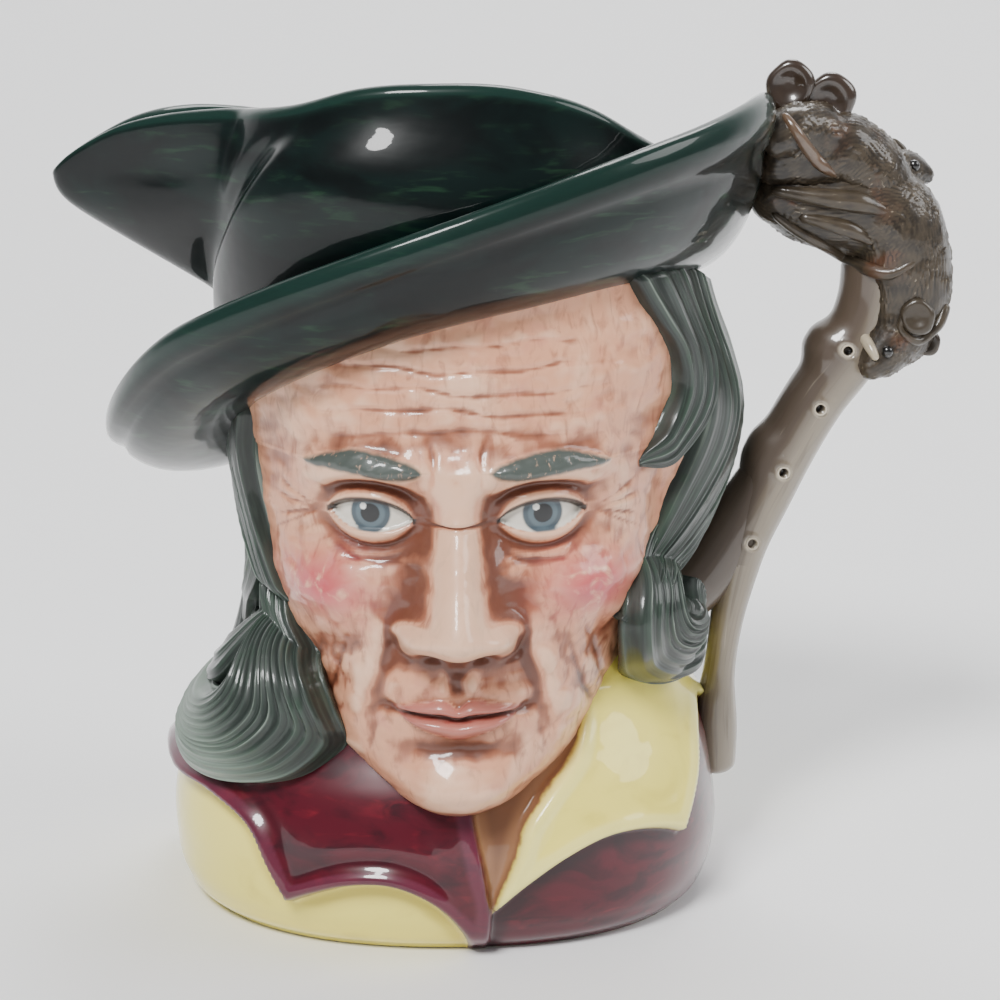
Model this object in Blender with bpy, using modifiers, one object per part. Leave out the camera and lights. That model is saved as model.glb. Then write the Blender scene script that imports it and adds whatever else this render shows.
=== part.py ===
"""Toby jug: a glazed head jug with a brimmed hat, a pouring spout and a pipe-shaped handle, cast as one hollow solid.

The frame is +Z up, the face looks along -Y, the handle is at +X, and the origin is the middle of the flat foot.
"""

import math

import bmesh
import bpy
import numpy as np

# Sizes that can be set by themselves, in metres.
HEIGHT = 0.178
WALL = 0.0045
FLOOR = 0.007
CAPE_THICKNESS = 0.0028
FINGER_HOLE_RADIUS = 0.0017
FINGER_HOLE_DEPTH = 0.0026
EAR_THICKNESS = 0.0022
FUSE_VOXEL = 0.0011
TRIANGLES_OUTSIDE = 7350

# The free forms are drawn in millimetres for a jug of this height, and UNIT turns them into metres.
DRAWN_HEIGHT = 178.0
UNIT = HEIGHT / DRAWN_HEIGHT

# Bust, head and the mass of the hair, each row: height, then the oval's reach to the left, right, front and back.
BUST = np.array([
    [0.0, 54.0, 52.0, 44.5, 48.0],
    [2.0, 57.0, 54.5, 47.5, 51.0],
    [6.0, 59.5, 56.5, 50.0, 53.5],
    [14.0, 61.0, 58.0, 52.0, 55.0],
    [26.0, 60.5, 57.0, 51.5, 55.0],
    [34.0, 58.0, 55.5, 49.0, 54.5],
    [42.0, 52.0, 52.5, 45.0, 54.0],
    [50.0, 46.0, 49.5, 43.0, 54.5],
    [60.0, 43.0, 48.5, 42.0, 55.0],
    [75.0, 42.0, 51.0, 42.0, 54.5],
    [92.0, 44.0, 57.0, 43.0, 52.5],
    [108.0, 46.0, 59.5, 45.0, 50.0],
    [120.0, 47.5, 57.0, 48.5, 48.5],
    [132.0, 49.0, 53.0, 53.0, 47.5],
    [144.0, 49.5, 50.0, 55.5, 47.5],
    [158.0, 49.0, 49.0, 56.0, 47.0],
    [172.0, 46.0, 46.5, 52.0, 44.5],
    [184.0, 43.0, 44.0, 48.0, 42.0],
])
BUST_POWER = 2.25

# Face without its features, each row: height, half width and reach to the front.
FACE = np.array([
    [29.5, 3.0, 37.0],
    [31.0, 10.0, 49.0],
    [33.5, 15.0, 54.5],
    [38.0, 20.0, 58.0],
    [46.0, 27.0, 58.0],
    [56.0, 33.0, 57.0],
    [70.0, 37.5, 56.0],
    [85.0, 40.5, 55.5],
    [100.0, 43.5, 56.0],
    [115.0, 45.0, 55.0],
    [128.0, 45.0, 53.0],
    [140.0, 42.0, 50.0],
])
FACE_CENTRE = (2.0, -20.0)
FACE_POWER = 2.2

# Spout: the tip's reach and direction, half the angle at its tip, and the heights where its keel starts and ends.
SPOUT_REACH = 86.0
SPOUT_TURN = math.radians(-84.0)
SPOUT_HALF_ANGLE = math.radians(27.0)
SPOUT_KEEL = (129.0, 152.0)

# Height of the rim above the foot, by sideways place, and how far it falls from front to back.
RIM = np.array([
    [-86.0, 155.0],
    [-80.0, 161.0],
    [-73.0, 165.5],
    [-60.0, 170.5],
    [-49.0, 173.0],
    [-31.0, 174.3],
    [-19.0, 177.0],
    [-3.0, 178.0],
    [16.0, 177.2],
    [30.0, 173.5],
    [39.0, 168.5],
    [45.0, 165.5],
    [52.0, 164.0],
])
RIM_FALL = 0.09

# Brim, each row: angle from the front towards the handle, then radius and height of its root, belly, lip and gutter.
BRIM = np.array([
    [0.0, 53.0, 132.0, 63.5, 133.0, 67.5, 151.5, 55.0, 147.0],
    [45.0, 50.0, 137.0, 62.0, 140.0, 66.5, 166.0, 53.0, 157.0],
    [90.0, 49.0, 134.0, 65.0, 136.0, 67.5, 170.0, 50.0, 154.0],
    [135.0, 48.0, 121.0, 60.0, 121.0, 66.0, 151.0, 50.0, 140.0],
    [180.0, 46.0, 106.0, 58.0, 103.0, 65.0, 125.0, 50.0, 121.0],
    [225.0, 46.0, 97.0, 60.0, 92.0, 68.0, 107.0, 50.0, 111.0],
    [270.0, 44.0, 94.0, 66.0, 86.0, 73.0, 100.0, 50.0, 112.0],
    [315.0, 50.0, 115.5, 66.0, 111.0, 72.5, 130.0, 55.0, 128.0],
])
LIP_ROUND = 2.2

# Curls, each a dome on the hair: middle (degrees, height), half size (degrees, height) and how far it stands out.
CURLS = [(-53.0, 49.0, 30.0, 15.0, 12.0), (49.0, 66.0, 18.0, 13.0, 8.0)]

# Hair, each set of locks: its inner and outer guide of (degrees, height, lift), how many, half width and half thickness.
HAIR = {
    "left": ([(-60, 114, 2), (-55, 99, 2.4), (-49, 85, 2.4), (-43, 74, 2), (-37, 64, 1.5), (-31, 54, 0.5), (-31, 46, 0)],
             [(-112, 100, 0), (-108, 88, 0.4), (-103, 77, 0.8), (-98, 70, 1), (-91, 66, 1), (-82, 62, 0.5), (-76, 59, 0)],
             4, (4.5, 6.5, 4), (3, 4, 2.5)),
    "right": ([(44, 138, 0), (52, 122, 0.8), (57, 108, 1.2), (57, 95, 1.4), (52, 86, 1), (45, 78, 0.5), (38, 70, 0)],
              [(104, 138, 0), (106, 120, 0.4), (104, 104, 0.8), (100, 88, 1), (92, 73, 1), (80, 62, 0.5), (64, 56, 0)],
              5, (4.5, 6.5, 4), (3, 4, 2.5)),
    "back": ([(118, 130, 0), (122, 110, 0.5), (117, 90, 1), (120, 70, 1.5), (115, 52, 2), (119, 42, 3), (124, 45, 2)],
             [(236, 104, 0), (240, 92, 0.5), (235, 78, 1), (238, 64, 1.5), (233, 50, 2), (237, 42, 3), (242, 45, 2)],
             8, (6, 7.5, 4), (3, 4.5, 4)),
}

# Cape, its two flaps as closed outlines of (degrees, height); each has a pointed and scalloped lower edge.
CAPE_RADIUS = 57.0
LEFT_CAPE = [
    (9.5, -2), (4.5, -2), (4.3, 3.2), (0.7, 9.2), (-4.4, 13.7), (-11.9, 16.8), (-20.3, 16.6), (-29.3, 13.6), (-34.8, 11.0),
    (-38.7, 18.4), (-43.2, 25.5), (-54, 30.0), (-68, 29.5), (-88, 32), (-101, 28), (-112, 20), (-120, 11), (-131, 18.5),
    (-146, 21), (-160, 18.5), (-172, 11), (-184, 21), (-184, 62), (5, 62), (6, 30), (8, 20), (9.5, 10.5),
]
RIGHT_CAPE = [
    (9.5, 10.5), (17, 16.8), (25.6, 22.0), (34.8, 25.0), (43, 25.0), (55, 21.5), (65, 33), (77, 43), (87, 43), (98, 33),
    (109, 22), (117, 11), (129, 18.5), (144, 21), (158, 18.5), (170, 11), (176, 20), (176, 62), (40, 62), (31.7, 43),
    (20.8, 33.7), (17.1, 29.4), (14.5, 22.6), (11.5, 16.2),
]

# Handle: the pipe's middle line with its half width and half depth, drawn from the fur down to the mouthpiece.
PIPE = [
    ((91.4, 9, 137), 7.2, 7.2), ((90.6, 9, 127), 7.2, 7.0), ((86.6, 8.5, 116.5), 7.0, 7.0), ((79.2, 8, 106), 6.8, 6.8),
    ((70.6, 7, 90.3), 6.7, 6.6), ((64.4, 5, 76.3), 6.5, 6.2), ((61.4, 4, 62), 5.2, 5.4), ((59.5, 3, 49), 3.8, 4.6),
    ((58.3, 2, 36), 3.5, 4.2), ((58.5, 2, 27), 4.9, 4.9), ((58.6, 2, 21.5), 4.3, 4.3),
]
PIPE_WEB = [((46, 0, 60), 7.0, 6.0), ((56, 3, 68), 7.5, 6.0), ((64.5, 5, 81), 6.8, 5.5)]
PIPE_KNOTS = [((81.2, 8, 117.3), 4.7), ((68.6, 7, 93.5), 5.2)]
FINGER_HOLES = [(85.2, 117.2), (79.6, 104.5), (72.0, 90.5), (65.4, 75.0)]

# Small furry animals on the handle, each: body points with radii, head points with radii, and ear middles with radii.
ANIMALS = [
    ([((92, 9, 152), 7), ((88, 9, 155.5), 8.6), ((82, 8, 159.5), 8.6), ((76, 6, 158), 7.5)],
     [((77, 5, 163), 7.2), ((71.5, 1, 164), 5.8), ((68, -3.5, 162.5), 3.2)],
     [((71.8, 8, 173.2), 5.2), ((79.8, 8, 169.6), 5.8)]),
    ([((70, 6, 150), 6.5), ((78, 8, 148), 9), ((87, 10, 147), 10.5), ((94.5, 10, 143.5), 11.2), ((97, 10, 135), 10.8)],
     [((93.5, 14, 152), 6.0), ((98.5, 17, 154), 4.4), ((103, 18, 153.2), 2.2)],
     [((93, 8, 156), 3.4), ((96, 20, 157.5), 3.2)]),
    ([((97.4, 10, 136), 10.6), ((97.8, 10, 128), 10.3), ((96, 9, 121), 8.8)],
     [((95.5, 7, 120), 7.4), ((92.5, 3.5, 116), 5.0), ((90, 0.5, 113.5), 2.5)],
     [((99.5, -0.5, 125), 3.8), ((102.5, 6, 118.5), 3.2)]),
]

# Heights on the drawn jug where one form gives way to the next.
FACE_STARTS = (30, 36)
FACE_ENDS = (124, 134)
CAPE_ENDS = (46, 56)
CROWN_START = 140
HOLLOW_TOP = 136

# Counts of the body's and the hollow's rings and sides.
BODY_SIDES = 240
HOLLOW_SIDES = 48
PIPE_SIDES = 24


def curve_through(table, at):
    """Values of a smooth curve through the rows of a table, read at each place; the first column is the place."""
    keys, values = table[:, 0], table[:, 1:]
    slopes = np.gradient(values, keys, axis=0)
    at = np.clip(at, keys[0], keys[-1])
    i = np.clip(np.searchsorted(keys, at, side="right") - 1, 0, len(keys) - 2)
    gap = (keys[i + 1] - keys[i])[..., None]
    t = (at - keys[i])[..., None] / gap
    low, high = values[i], values[i + 1]
    return (
        low * (1 + 2 * t) * (1 - t) ** 2
        + slopes[i] * gap * t * (1 - t) ** 2
        + high * t * t * (3 - 2 * t)
        + slopes[i + 1] * gap * t * t * (t - 1)
    )


def curve_around(table, angle):
    """The same for a table whose places are degrees round a full turn."""
    before, after = table[-2:].copy(), table[:3].copy()
    before[:, 0] -= 360
    after[:, 0] += 360
    return curve_through(np.vstack([before, table, after]), np.degrees(angle) % 360)


def step(value, low, high):
    """0 below low, 1 above high, and smooth in between."""
    t = np.clip((value - low) / (high - low), 0, 1)
    return t * t * (3 - 2 * t)


def larger(a, b, soft):
    """The larger of two lengths, rounded over a length soft where they cross."""
    return np.logaddexp(a / soft, b / soft) * soft


def mound(x, z, middle, size, power=2.0):
    """A round rise of height 1 at middle that fades out over size, for carving on the face."""
    across = np.abs((x - middle[0]) / size[0]) ** power + np.abs((z - middle[1]) / size[1]) ** power
    return np.exp(-across)


def bust_radius(angle, z):
    """Radius of the bust and head at an angle from the front and a height."""
    left, right, front, back = np.moveaxis(curve_through(BUST, z), -1, 0)
    side, ahead = np.sin(angle), np.cos(angle)
    across = np.where(side > 0, right, left)
    along = np.where(ahead > 0, front, back)
    return (np.abs(side / across) ** BUST_POWER + np.abs(ahead / along) ** BUST_POWER) ** (-1 / BUST_POWER)


def face_radius(angle, z):
    """Radius of the face's plain oval, which is centred in front of the jug's middle."""
    half, reach = np.moveaxis(curve_through(FACE, z), -1, 0)
    depth = reach + FACE_CENTRE[1]
    near, far = np.zeros(np.shape(angle + z)), np.full(np.shape(angle + z), 80.0)
    for _ in range(22):
        middle = (near + far) / 2
        x = (middle * np.sin(angle) - FACE_CENTRE[0]) / half
        y = (-middle * np.cos(angle) - FACE_CENTRE[1]) / depth
        inside = np.abs(x) ** FACE_POWER + np.abs(y) ** FACE_POWER < 1
        near, far = np.where(inside, middle, near), np.where(inside, far, middle)
    return np.where(z > FACE[0, 0], (near + far) / 2, 0)


def spout_radius(angle, z):
    """Radius of the drop-shaped spout, which grows out of the hat along a straight keel."""
    turn = np.abs((angle - SPOUT_TURN + math.pi) % (2 * math.pi) - math.pi)
    turn = np.sqrt(turn**2 + 0.0016) - 0.02
    start, end = SPOUT_KEEL
    rise = np.clip((z - start) / (end - start), 0, 1)
    reach = 47 + (SPOUT_REACH - 47) * rise
    spread = np.minimum(SPOUT_HALF_ANGLE + turn, math.pi / 2)
    return np.where(z > start, reach * math.sin(SPOUT_HALF_ANGLE) / np.sin(spread), 0)


def plain_radius(angle, z):
    """Radius of the whole vessel without carving."""
    radius = larger(bust_radius(angle, z), face_radius(angle, z), 1.0)
    return larger(radius, spout_radius(angle, z), 1.0)


def rim_height(angle):
    """Height of the jug's open rim at an angle from the front."""
    radius = plain_radius(angle, np.full(np.shape(angle), 166.0))
    x, y = radius * np.sin(angle), -radius * np.cos(angle)
    front = curve_through(RIM, x)[..., 0]
    return front - RIM_FALL * (y + 50) * step(x, -70, -40)


def face_carving(x, z):
    """How far the calm, even face stands out from its plain oval, in millimetres; x and z are millimetres."""
    x = x - FACE_CENTRE[0]
    a = np.abs(x)
    bridge = step(z, 66, 72) * (1 - step(z, 92, 106))
    ridge_height = 3.5 + 11.0 * (1 - step(z, 71, 100))
    ridge_width = 4.0 + 3.2 * (1 - step(z, 68, 88))
    nose = bridge * ridge_height * np.exp(-((a / ridge_width) ** 2.4))
    wings = 4.6 * mound(a, z, (6.6, 70.5), (3.4, 3.8))
    brow = 2.4 * mound(a, z, (15, 104), (13, 4.5))
    socket = -4.6 * mound(a, z, (16.4, 94), (9.5, 6.5), 2.6)
    ball = 4.4 * mound(a, z, (16.4, 93.6), (6.8, 4.6), 2.6)
    cheek = 2.6 * mound(a, z, (25, 77), (11, 10))
    hollow = -1.6 * mound(a, z, (29, 58), (9, 9))
    fold = -1.3 * np.exp(-(((a - 13.5 - 0.35 * (70 - z)) / 2.2) ** 2)) * step(z, 52, 58) * (1 - step(z, 68, 73))
    muzzle = 2.4 * mound(x, z, (0, 57), (15, 9))
    upper_lip = 1.9 * mound(x, z, (0, 57.6), (10.5, 1.9))
    lower_lip = 2.4 * mound(x, z, (0, 53.2), (8.8, 2.3))
    parting = -1.5 * np.exp(-((x / 12.5) ** 6)) * np.exp(-(((z - 55.5 - 0.004 * x * x) / 0.9) ** 2))
    under_lip = -1.7 * mound(x, z, (0, 48.4), (9, 2.6))
    chin = 2.6 * mound(x, z, (0, 39.5), (10, 6.5))
    temple = -1.6 * mound(a, z, (37, 103), (7, 12))
    return (nose + wings + brow + socket + ball + cheek + hollow + fold + muzzle
            + upper_lip + lower_lip + parting + under_lip + chin + temple)


def outline_distance(angle, z, outline):
    """Signed distance in millimetres, positive inside, from a closed outline of (degrees, height) on the bust."""
    corners = np.array(outline, float)
    corners[:, 0] = np.radians(corners[:, 0]) * CAPE_RADIUS
    nearest = np.full(np.shape(z), 1e9)
    inside = np.zeros(np.shape(z), bool)
    best_turn = (corners[:, 0].min() + corners[:, 0].max()) / 2
    full = 2 * math.pi * CAPE_RADIUS
    s = (angle * CAPE_RADIUS - best_turn + full / 2) % full - full / 2 + best_turn
    for (x0, z0), (x1, z1) in zip(corners, np.roll(corners, -1, axis=0)):
        ex, ez = x1 - x0, z1 - z0
        t = np.clip(((s - x0) * ex + (z - z0) * ez) / max(ex * ex + ez * ez, 1e-9), 0, 1)
        nearest = np.minimum(nearest, np.hypot(s - x0 - t * ex, z - z0 - t * ez))
        crosses = ((z0 > z) != (z1 > z)) & (s < ex * (z - z0) / (ez if abs(ez) > 1e-9 else 1e-9) + x0)
        inside ^= crosses
    return np.where(inside, nearest, -nearest)


def body_radius(angle, z):
    """Radius of the carved outside of the vessel."""
    radius = plain_radius(angle, z)
    x = radius * np.sin(angle)
    front = step(np.cos(angle), 0.35, 0.75) * step(z, *FACE_STARTS) * (1 - step(z, *FACE_ENDS))
    radius = radius + face_carving(x, z) * front
    cape = np.maximum(outline_distance(angle, z, LEFT_CAPE), outline_distance(angle, z, RIGHT_CAPE))
    below_face = 1 - step(face_radius(angle, z) - bust_radius(angle, z), -4, 0)
    return radius + CAPE_THICKNESS / UNIT * step(cape, -0.9, 0.9) * below_face * (1 - step(z, *CAPE_ENDS))


def inner_radius(angle, z, wall):
    """Radius of the hollow, which keeps a full wall from the plain outside in every direction."""
    smallest = np.full(np.shape(angle + z), 1e9)
    shares = np.linspace(-1, 1, 9)
    for up in shares:
        for round_ in shares:
            left = 1 - up * up - round_ * round_
            if left < 0:
                continue
            outside = plain_radius(angle + round_ * wall / 50, z + up * wall)
            smallest = np.minimum(smallest, outside - wall * math.sqrt(left))
    return smallest


def place(radius, angle, z):
    """Points in millimetres from radius, angle from the front and height."""
    radius, angle, z = np.broadcast_arrays(radius, angle, z)
    return np.stack([radius * np.sin(angle), -radius * np.cos(angle), z], axis=-1)


def mesh_object(name, points, faces, collection):
    """An object from points in millimetres and faces, its faces pointing out."""
    mesh = bpy.data.meshes.new(name)
    mesh.from_pydata((np.asarray(points) * UNIT).tolist(), [], faces)
    shape = bmesh.new()
    shape.from_mesh(mesh)
    bmesh.ops.remove_doubles(shape, verts=shape.verts, dist=1e-6)
    bmesh.ops.recalc_face_normals(shape, faces=shape.faces)
    shape.to_mesh(mesh)
    shape.free()
    made = bpy.data.objects.new(name, mesh)
    collection.objects.link(made)
    return made


def loft(name, rings, collection, ends=True):
    """A closed mesh from rings of points; with ends it is capped by fans, and without them it joins up as a torus."""
    rings = np.asarray(rings)
    rows, sides = rings.shape[:2]
    points = rings.reshape(-1, 3)
    spans = rows - 1 if ends else rows
    faces = []
    for i in range(spans):
        for j in range(sides):
            k = (j + 1) % sides
            low, high = i * sides, (i + 1) % rows * sides
            faces.append((low + j, low + k, high + k, high + j))
    if ends:
        points = np.vstack([points, rings[0].mean(axis=0), rings[-1].mean(axis=0)])
        first, last = len(points) - 2, len(points) - 1
        top = (rows - 1) * sides
        faces += [(first, (j + 1) % sides, j) for j in range(sides)]
        faces += [(last, top + j, top + (j + 1) % sides) for j in range(sides)]
    return mesh_object(name, points, faces, collection)


def line_through(points, count):
    """Evenly read points of a smooth line through the given ones."""
    points = np.asarray(points, float)
    keys = np.concatenate([[0], np.cumsum(np.linalg.norm(np.diff(points, axis=0), axis=1))])
    return curve_through(np.column_stack([keys, points]), np.linspace(0, keys[-1], count))


def sweep(name, points, width, thickness, collection, count=26, sides=12, outward=None):
    """A closed tube with oval sections along a line; thickness points away from the jug's middle, or along outward."""
    line = line_through(points, count)
    at = np.linspace(0, 1, count)
    width = np.interp(at, np.linspace(0, 1, len(width)), width)
    thickness = np.interp(at, np.linspace(0, 1, len(thickness)), thickness)
    tangent = np.gradient(line, axis=0)
    tangent /= np.linalg.norm(tangent, axis=1)[:, None]
    out = line * (1, 1, 0) if outward is None else np.broadcast_to(np.asarray(outward, float), line.shape)
    out = out - tangent * (out * tangent).sum(axis=1)[:, None]
    out /= np.linalg.norm(out, axis=1)[:, None]
    side = np.cross(tangent, out)
    round_end = np.sqrt(np.clip(1 - (1 - np.minimum(at, 1 - at) * count / 2.5) ** 2, 0.15, 1))
    round_end = np.where(np.minimum(at, 1 - at) * count / 2.5 > 1, 1, round_end)
    turn = np.linspace(0, 2 * math.pi, sides, endpoint=False)
    rings = [
        line[i] + round_end[i] * (width[i] * np.outer(np.cos(turn), side[i]) + thickness[i] * np.outer(np.sin(turn), out[i]))
        for i in range(count)
    ]
    return loft(name, rings, collection)


def body(collection):
    """The bust, head, crown and spout as one closed form."""
    angle = np.linspace(-math.pi, math.pi, BODY_SIDES, endpoint=False)
    heights = np.concatenate([np.linspace(-3, 0, 3), np.linspace(1, CROWN_START, 116)])
    rings = [place(body_radius(angle, np.full(BODY_SIDES, max(z, 0.0))), angle, z) for z in heights]
    rim = rim_height(angle)
    for share in np.linspace(0, 1, 24)[1:]:
        z = CROWN_START + (rim - CROWN_START) * share
        rings.append(place(body_radius(angle, z), angle, z))
    return loft("body", rings, collection)


def brim(collection):
    """The hat's turned-up brim, a ring round the crown with a rounded lip and a gutter behind it."""
    rings = []
    share = np.linspace(0, 1, 9)[:, None]
    for angle in np.linspace(-math.pi, math.pi, 180, endpoint=False):
        root, belly, lip, gutter = curve_around(BRIM, np.array(angle)).reshape(4, 2)
        outside = root * (1 - share) ** 2 + belly * 2 * share * (1 - share) + lip * share**2
        along = (lip - belly) / np.linalg.norm(lip - belly)
        inwards = np.array([-along[1], along[0]])
        bend = np.linspace(0, math.pi, 6)[1:, None]
        rounding = lip + inwards * LIP_ROUND * (1 - np.cos(bend)) + along * LIP_ROUND * np.sin(bend)
        low = np.array([0.5 * gutter[0] + 0.5 * lip[0], gutter[1]])
        inside = rounding[-1] * (1 - share) ** 2 + low * 2 * share * (1 - share) + gutter * share**2
        behind = np.array([gutter - (7, 0), root + (-7, 4)])
        profile = np.vstack([outside, rounding, inside[1:], behind])
        rings.append(place(profile[:, 0], angle, profile[:, 1]))
    return loft("brim", rings, collection, ends=False)


def hair_radius(angle, z):
    """Radius of the smooth hair, with a dome under each curl."""
    radius = plain_radius(angle, z)
    for turn, height, wide, tall, lift in CURLS:
        away = ((np.degrees(angle) - turn) / wide) ** 2 + ((z - height) / tall) ** 2
        radius = radius + lift * np.sqrt(np.clip(1 - away, 0, 1)) * step(1 - away, 0, 0.25)
    return radius


def on_hair(rows):
    """Points on the hair from rows of degrees, height and lift."""
    rows = np.asarray(rows, float)
    angle = np.radians(rows[:, 0])
    return place(hair_radius(angle, rows[:, 1]) + rows[:, 2], angle, rows[:, 1])


def spiral(curl, turns, direction):
    """Rows of degrees, height and lift that wind into the middle of a curl."""
    middle, height, wide, tall, _ = curl
    rows = []
    for share in np.linspace(0, 1, 26):
        angle = math.radians(75) + direction * share * turns * 2 * math.pi
        reach = 0.92 - 0.8 * share
        rows.append((middle + wide * reach * math.cos(angle), height + tall * reach * math.sin(angle), 0.6 + 1.2 * share))
    return rows


def hair(collection):
    """Locks at both sides of the face and down the back, and a spiral lock on each curl."""
    made = []
    for name, (inner, outer, count, width, thickness) in HAIR.items():
        inner, outer = np.array(inner, float), np.array(outer, float)
        for n, share in enumerate(np.linspace(0, 1, count)):
            line = on_hair(line_through(inner + (outer - inner) * share, 30))
            made.append(sweep(f"{name}_lock_{n}", line, width, thickness, collection, count=36, sides=14))
    for n, curl in enumerate(CURLS):
        line = on_hair(spiral(curl, 1.9, 1 if n == 0 else -1))
        made.append(sweep(f"curl_{n}", line, (3.6, 3.4, 2.0), (3.2, 3.2, 2.2), collection, count=90, sides=12))
        middle, height, wide, tall, lift = curl
        turns, rises = np.meshgrid(np.radians(np.linspace(-1, 1, 33) * wide + middle), np.linspace(-1, 1, 25) * tall + height)
        outside = place(hair_radius(turns, rises), turns, rises)
        made.append(slab(f"curl_dome_{n}", outside, place(38.0, turns, rises), collection))
    return made


def slab(name, outside, inside, collection):
    """A closed mesh between two grids of points of the same shape."""
    rows, columns = outside.shape[:2]
    points = np.vstack([outside.reshape(-1, 3), inside.reshape(-1, 3)])
    behind = rows * columns
    faces = []
    for i in range(rows - 1):
        for j in range(columns - 1):
            a, b, c, d = i * columns + j, i * columns + j + 1, (i + 1) * columns + j + 1, (i + 1) * columns + j
            faces += [(a, b, c, d), (a + behind, d + behind, c + behind, b + behind)]
    border = [j for j in range(columns)] + [(i + 1) * columns - 1 for i in range(1, rows)]
    border += [(rows - 1) * columns + j for j in range(columns - 2, -1, -1)] + [i * columns for i in range(rows - 2, 0, -1)]
    for a, b in zip(border, border[1:] + border[:1]):
        faces.append((b, a, a + behind, b + behind))
    return mesh_object(name, points, faces, collection)


def pipe(collection):
    """The pipe of the handle, the web that joins it to the hair, and two knots on its inner side."""
    made = [sweep("pipe", [p for p, _, _ in PIPE], [w for _, w, _ in PIPE], [d for _, _, d in PIPE],
                  collection, count=60, sides=PIPE_SIDES, outward=(0, 1, 0))]
    made.append(sweep("pipe_web", [p for p, _, _ in PIPE_WEB], [w for _, w, _ in PIPE_WEB],
                      [d for _, _, d in PIPE_WEB], collection, outward=(0, 1, 0)))
    for n, (middle, radius) in enumerate(PIPE_KNOTS):
        made.append(ball(f"pipe_knot_{n}", middle, (radius, radius, radius), collection))
    return made


def ball(name, middle, reach, collection):
    """A ball of its own reach along each axis, in millimetres."""
    mesh = bpy.data.meshes.new(name)
    shape = bmesh.new()
    bmesh.ops.create_uvsphere(shape, u_segments=20, v_segments=12, radius=1)
    for vertex in shape.verts:
        vertex.co = [(c * r + m) * UNIT for c, r, m in zip(vertex.co, reach, middle)]
    shape.to_mesh(mesh)
    shape.free()
    made = bpy.data.objects.new(name, mesh)
    collection.objects.link(made)
    return made


def animals(collection):
    """Three small furry animals that climb over the end of the pipe and hold on to the hat."""
    made = []
    for n, (trunk, head, ears) in enumerate(ANIMALS):
        for part, chain in (("trunk", trunk), ("head", head)):
            radii = [r for _, r in chain]
            made.append(sweep(f"animal_{n}_{part}", [p for p, _ in chain], radii, radii, collection,
                              count=18, sides=16, outward=(0, 1, 0.01)))
            for end, (point, radius) in (("back", chain[0]), ("front", chain[-1])):
                made.append(ball(f"animal_{n}_{part}_{end}", point, (radius,) * 3, collection))
        for side, (middle, radius) in enumerate(ears):
            thick = EAR_THICKNESS / UNIT
            made.append(ball(f"animal_{n}_ear_{side}", middle, (radius, max(thick, radius * 0.5), radius), collection))
    return made


def hollow(collection):
    """The cutter for the inside: the vessel's plain form less the wall, from the floor out through the rim."""
    wall = WALL / UNIT
    floor = FLOOR / UNIT
    angle = np.linspace(-math.pi, math.pi, HOLLOW_SIDES, endpoint=False)
    round_off = np.array([[4.5, 0.0], [1.4, 0.5], [0.0, 3.0]])
    rings = []
    for inset, rise in round_off:
        z = np.full(HOLLOW_SIDES, floor + rise)
        rings.append(place(inner_radius(angle, z, wall) - inset, angle, z))
    for z in np.linspace(floor + 8, HOLLOW_TOP, 14):
        rings.append(place(inner_radius(angle, np.full(HOLLOW_SIDES, z), wall), angle, z))
    rim = rim_height(angle)
    for share in np.linspace(0, 1, 6)[1:]:
        z = HOLLOW_TOP + (rim + 2 - HOLLOW_TOP) * share
        rings.append(place(inner_radius(angle, z, wall), angle, z))
    top = rings[-1].copy()
    top[:, 2] += 12
    rings.append(top)
    return loft("hollow_cutter", rings, collection)


def add_boolean(target, cutter, operation="DIFFERENCE"):
    """A Boolean modifier with the exact solver."""
    modifier = target.modifiers.new(f"{operation.lower()}_{cutter.name}", "BOOLEAN")
    modifier.operation = operation
    modifier.object = cutter
    modifier.solver = "EXACT"
    return modifier


def baked(source, name, collection):
    """The evaluated mesh of an object as a new plain object, in place of the source."""
    graph = bpy.context.evaluated_depsgraph_get()
    mesh = bpy.data.meshes.new_from_object(source.evaluated_get(graph))
    made = bpy.data.objects.new(name, mesh)
    collection.objects.link(made)
    bpy.data.objects.remove(source)
    return made


def fused(pieces, name, collection):
    """All the forms melted into one skin, as slip fills the joints of a cast jug, then thinned to few triangles."""
    shape = bmesh.new()
    for piece in pieces:
        shape.from_mesh(piece.data)
        bpy.data.objects.remove(piece)
    mesh = bpy.data.meshes.new(name)
    shape.to_mesh(mesh)
    shape.free()
    raw = bpy.data.objects.new(name + "_raw", mesh)
    collection.objects.link(raw)
    remesh = raw.modifiers.new("melt", "REMESH")
    remesh.mode = "VOXEL"
    remesh.voxel_size = FUSE_VOXEL
    soften = raw.modifiers.new("soften", "SMOOTH")
    soften.factor = 0.5
    soften.iterations = 2
    bpy.context.view_layer.update()
    melted = baked(raw, name + "_melted", collection)
    thin = melted.modifiers.new("thin", "DECIMATE")
    thin.ratio = TRIANGLES_OUTSIDE / sum(len(p.vertices) - 2 for p in melted.data.polygons)
    thin.use_collapse_triangulate = True
    bpy.context.view_layer.update()
    return baked(melted, name, collection)


def foot_cutter(collection):
    """A block under the foot that cuts the jug off flat at height 0."""
    reach = 1.5 * HEIGHT
    deep = 0.1 * HEIGHT
    bpy.ops.mesh.primitive_cube_add(size=1, location=(0, 0, -deep / 2))
    block = bpy.context.object
    block.name = "foot_cutter"
    block.scale = (reach, reach, deep)
    bpy.ops.object.transform_apply(location=False, rotation=False, scale=True)
    for owner in block.users_collection:
        owner.objects.unlink(block)
    collection.objects.link(block)
    return block


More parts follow.
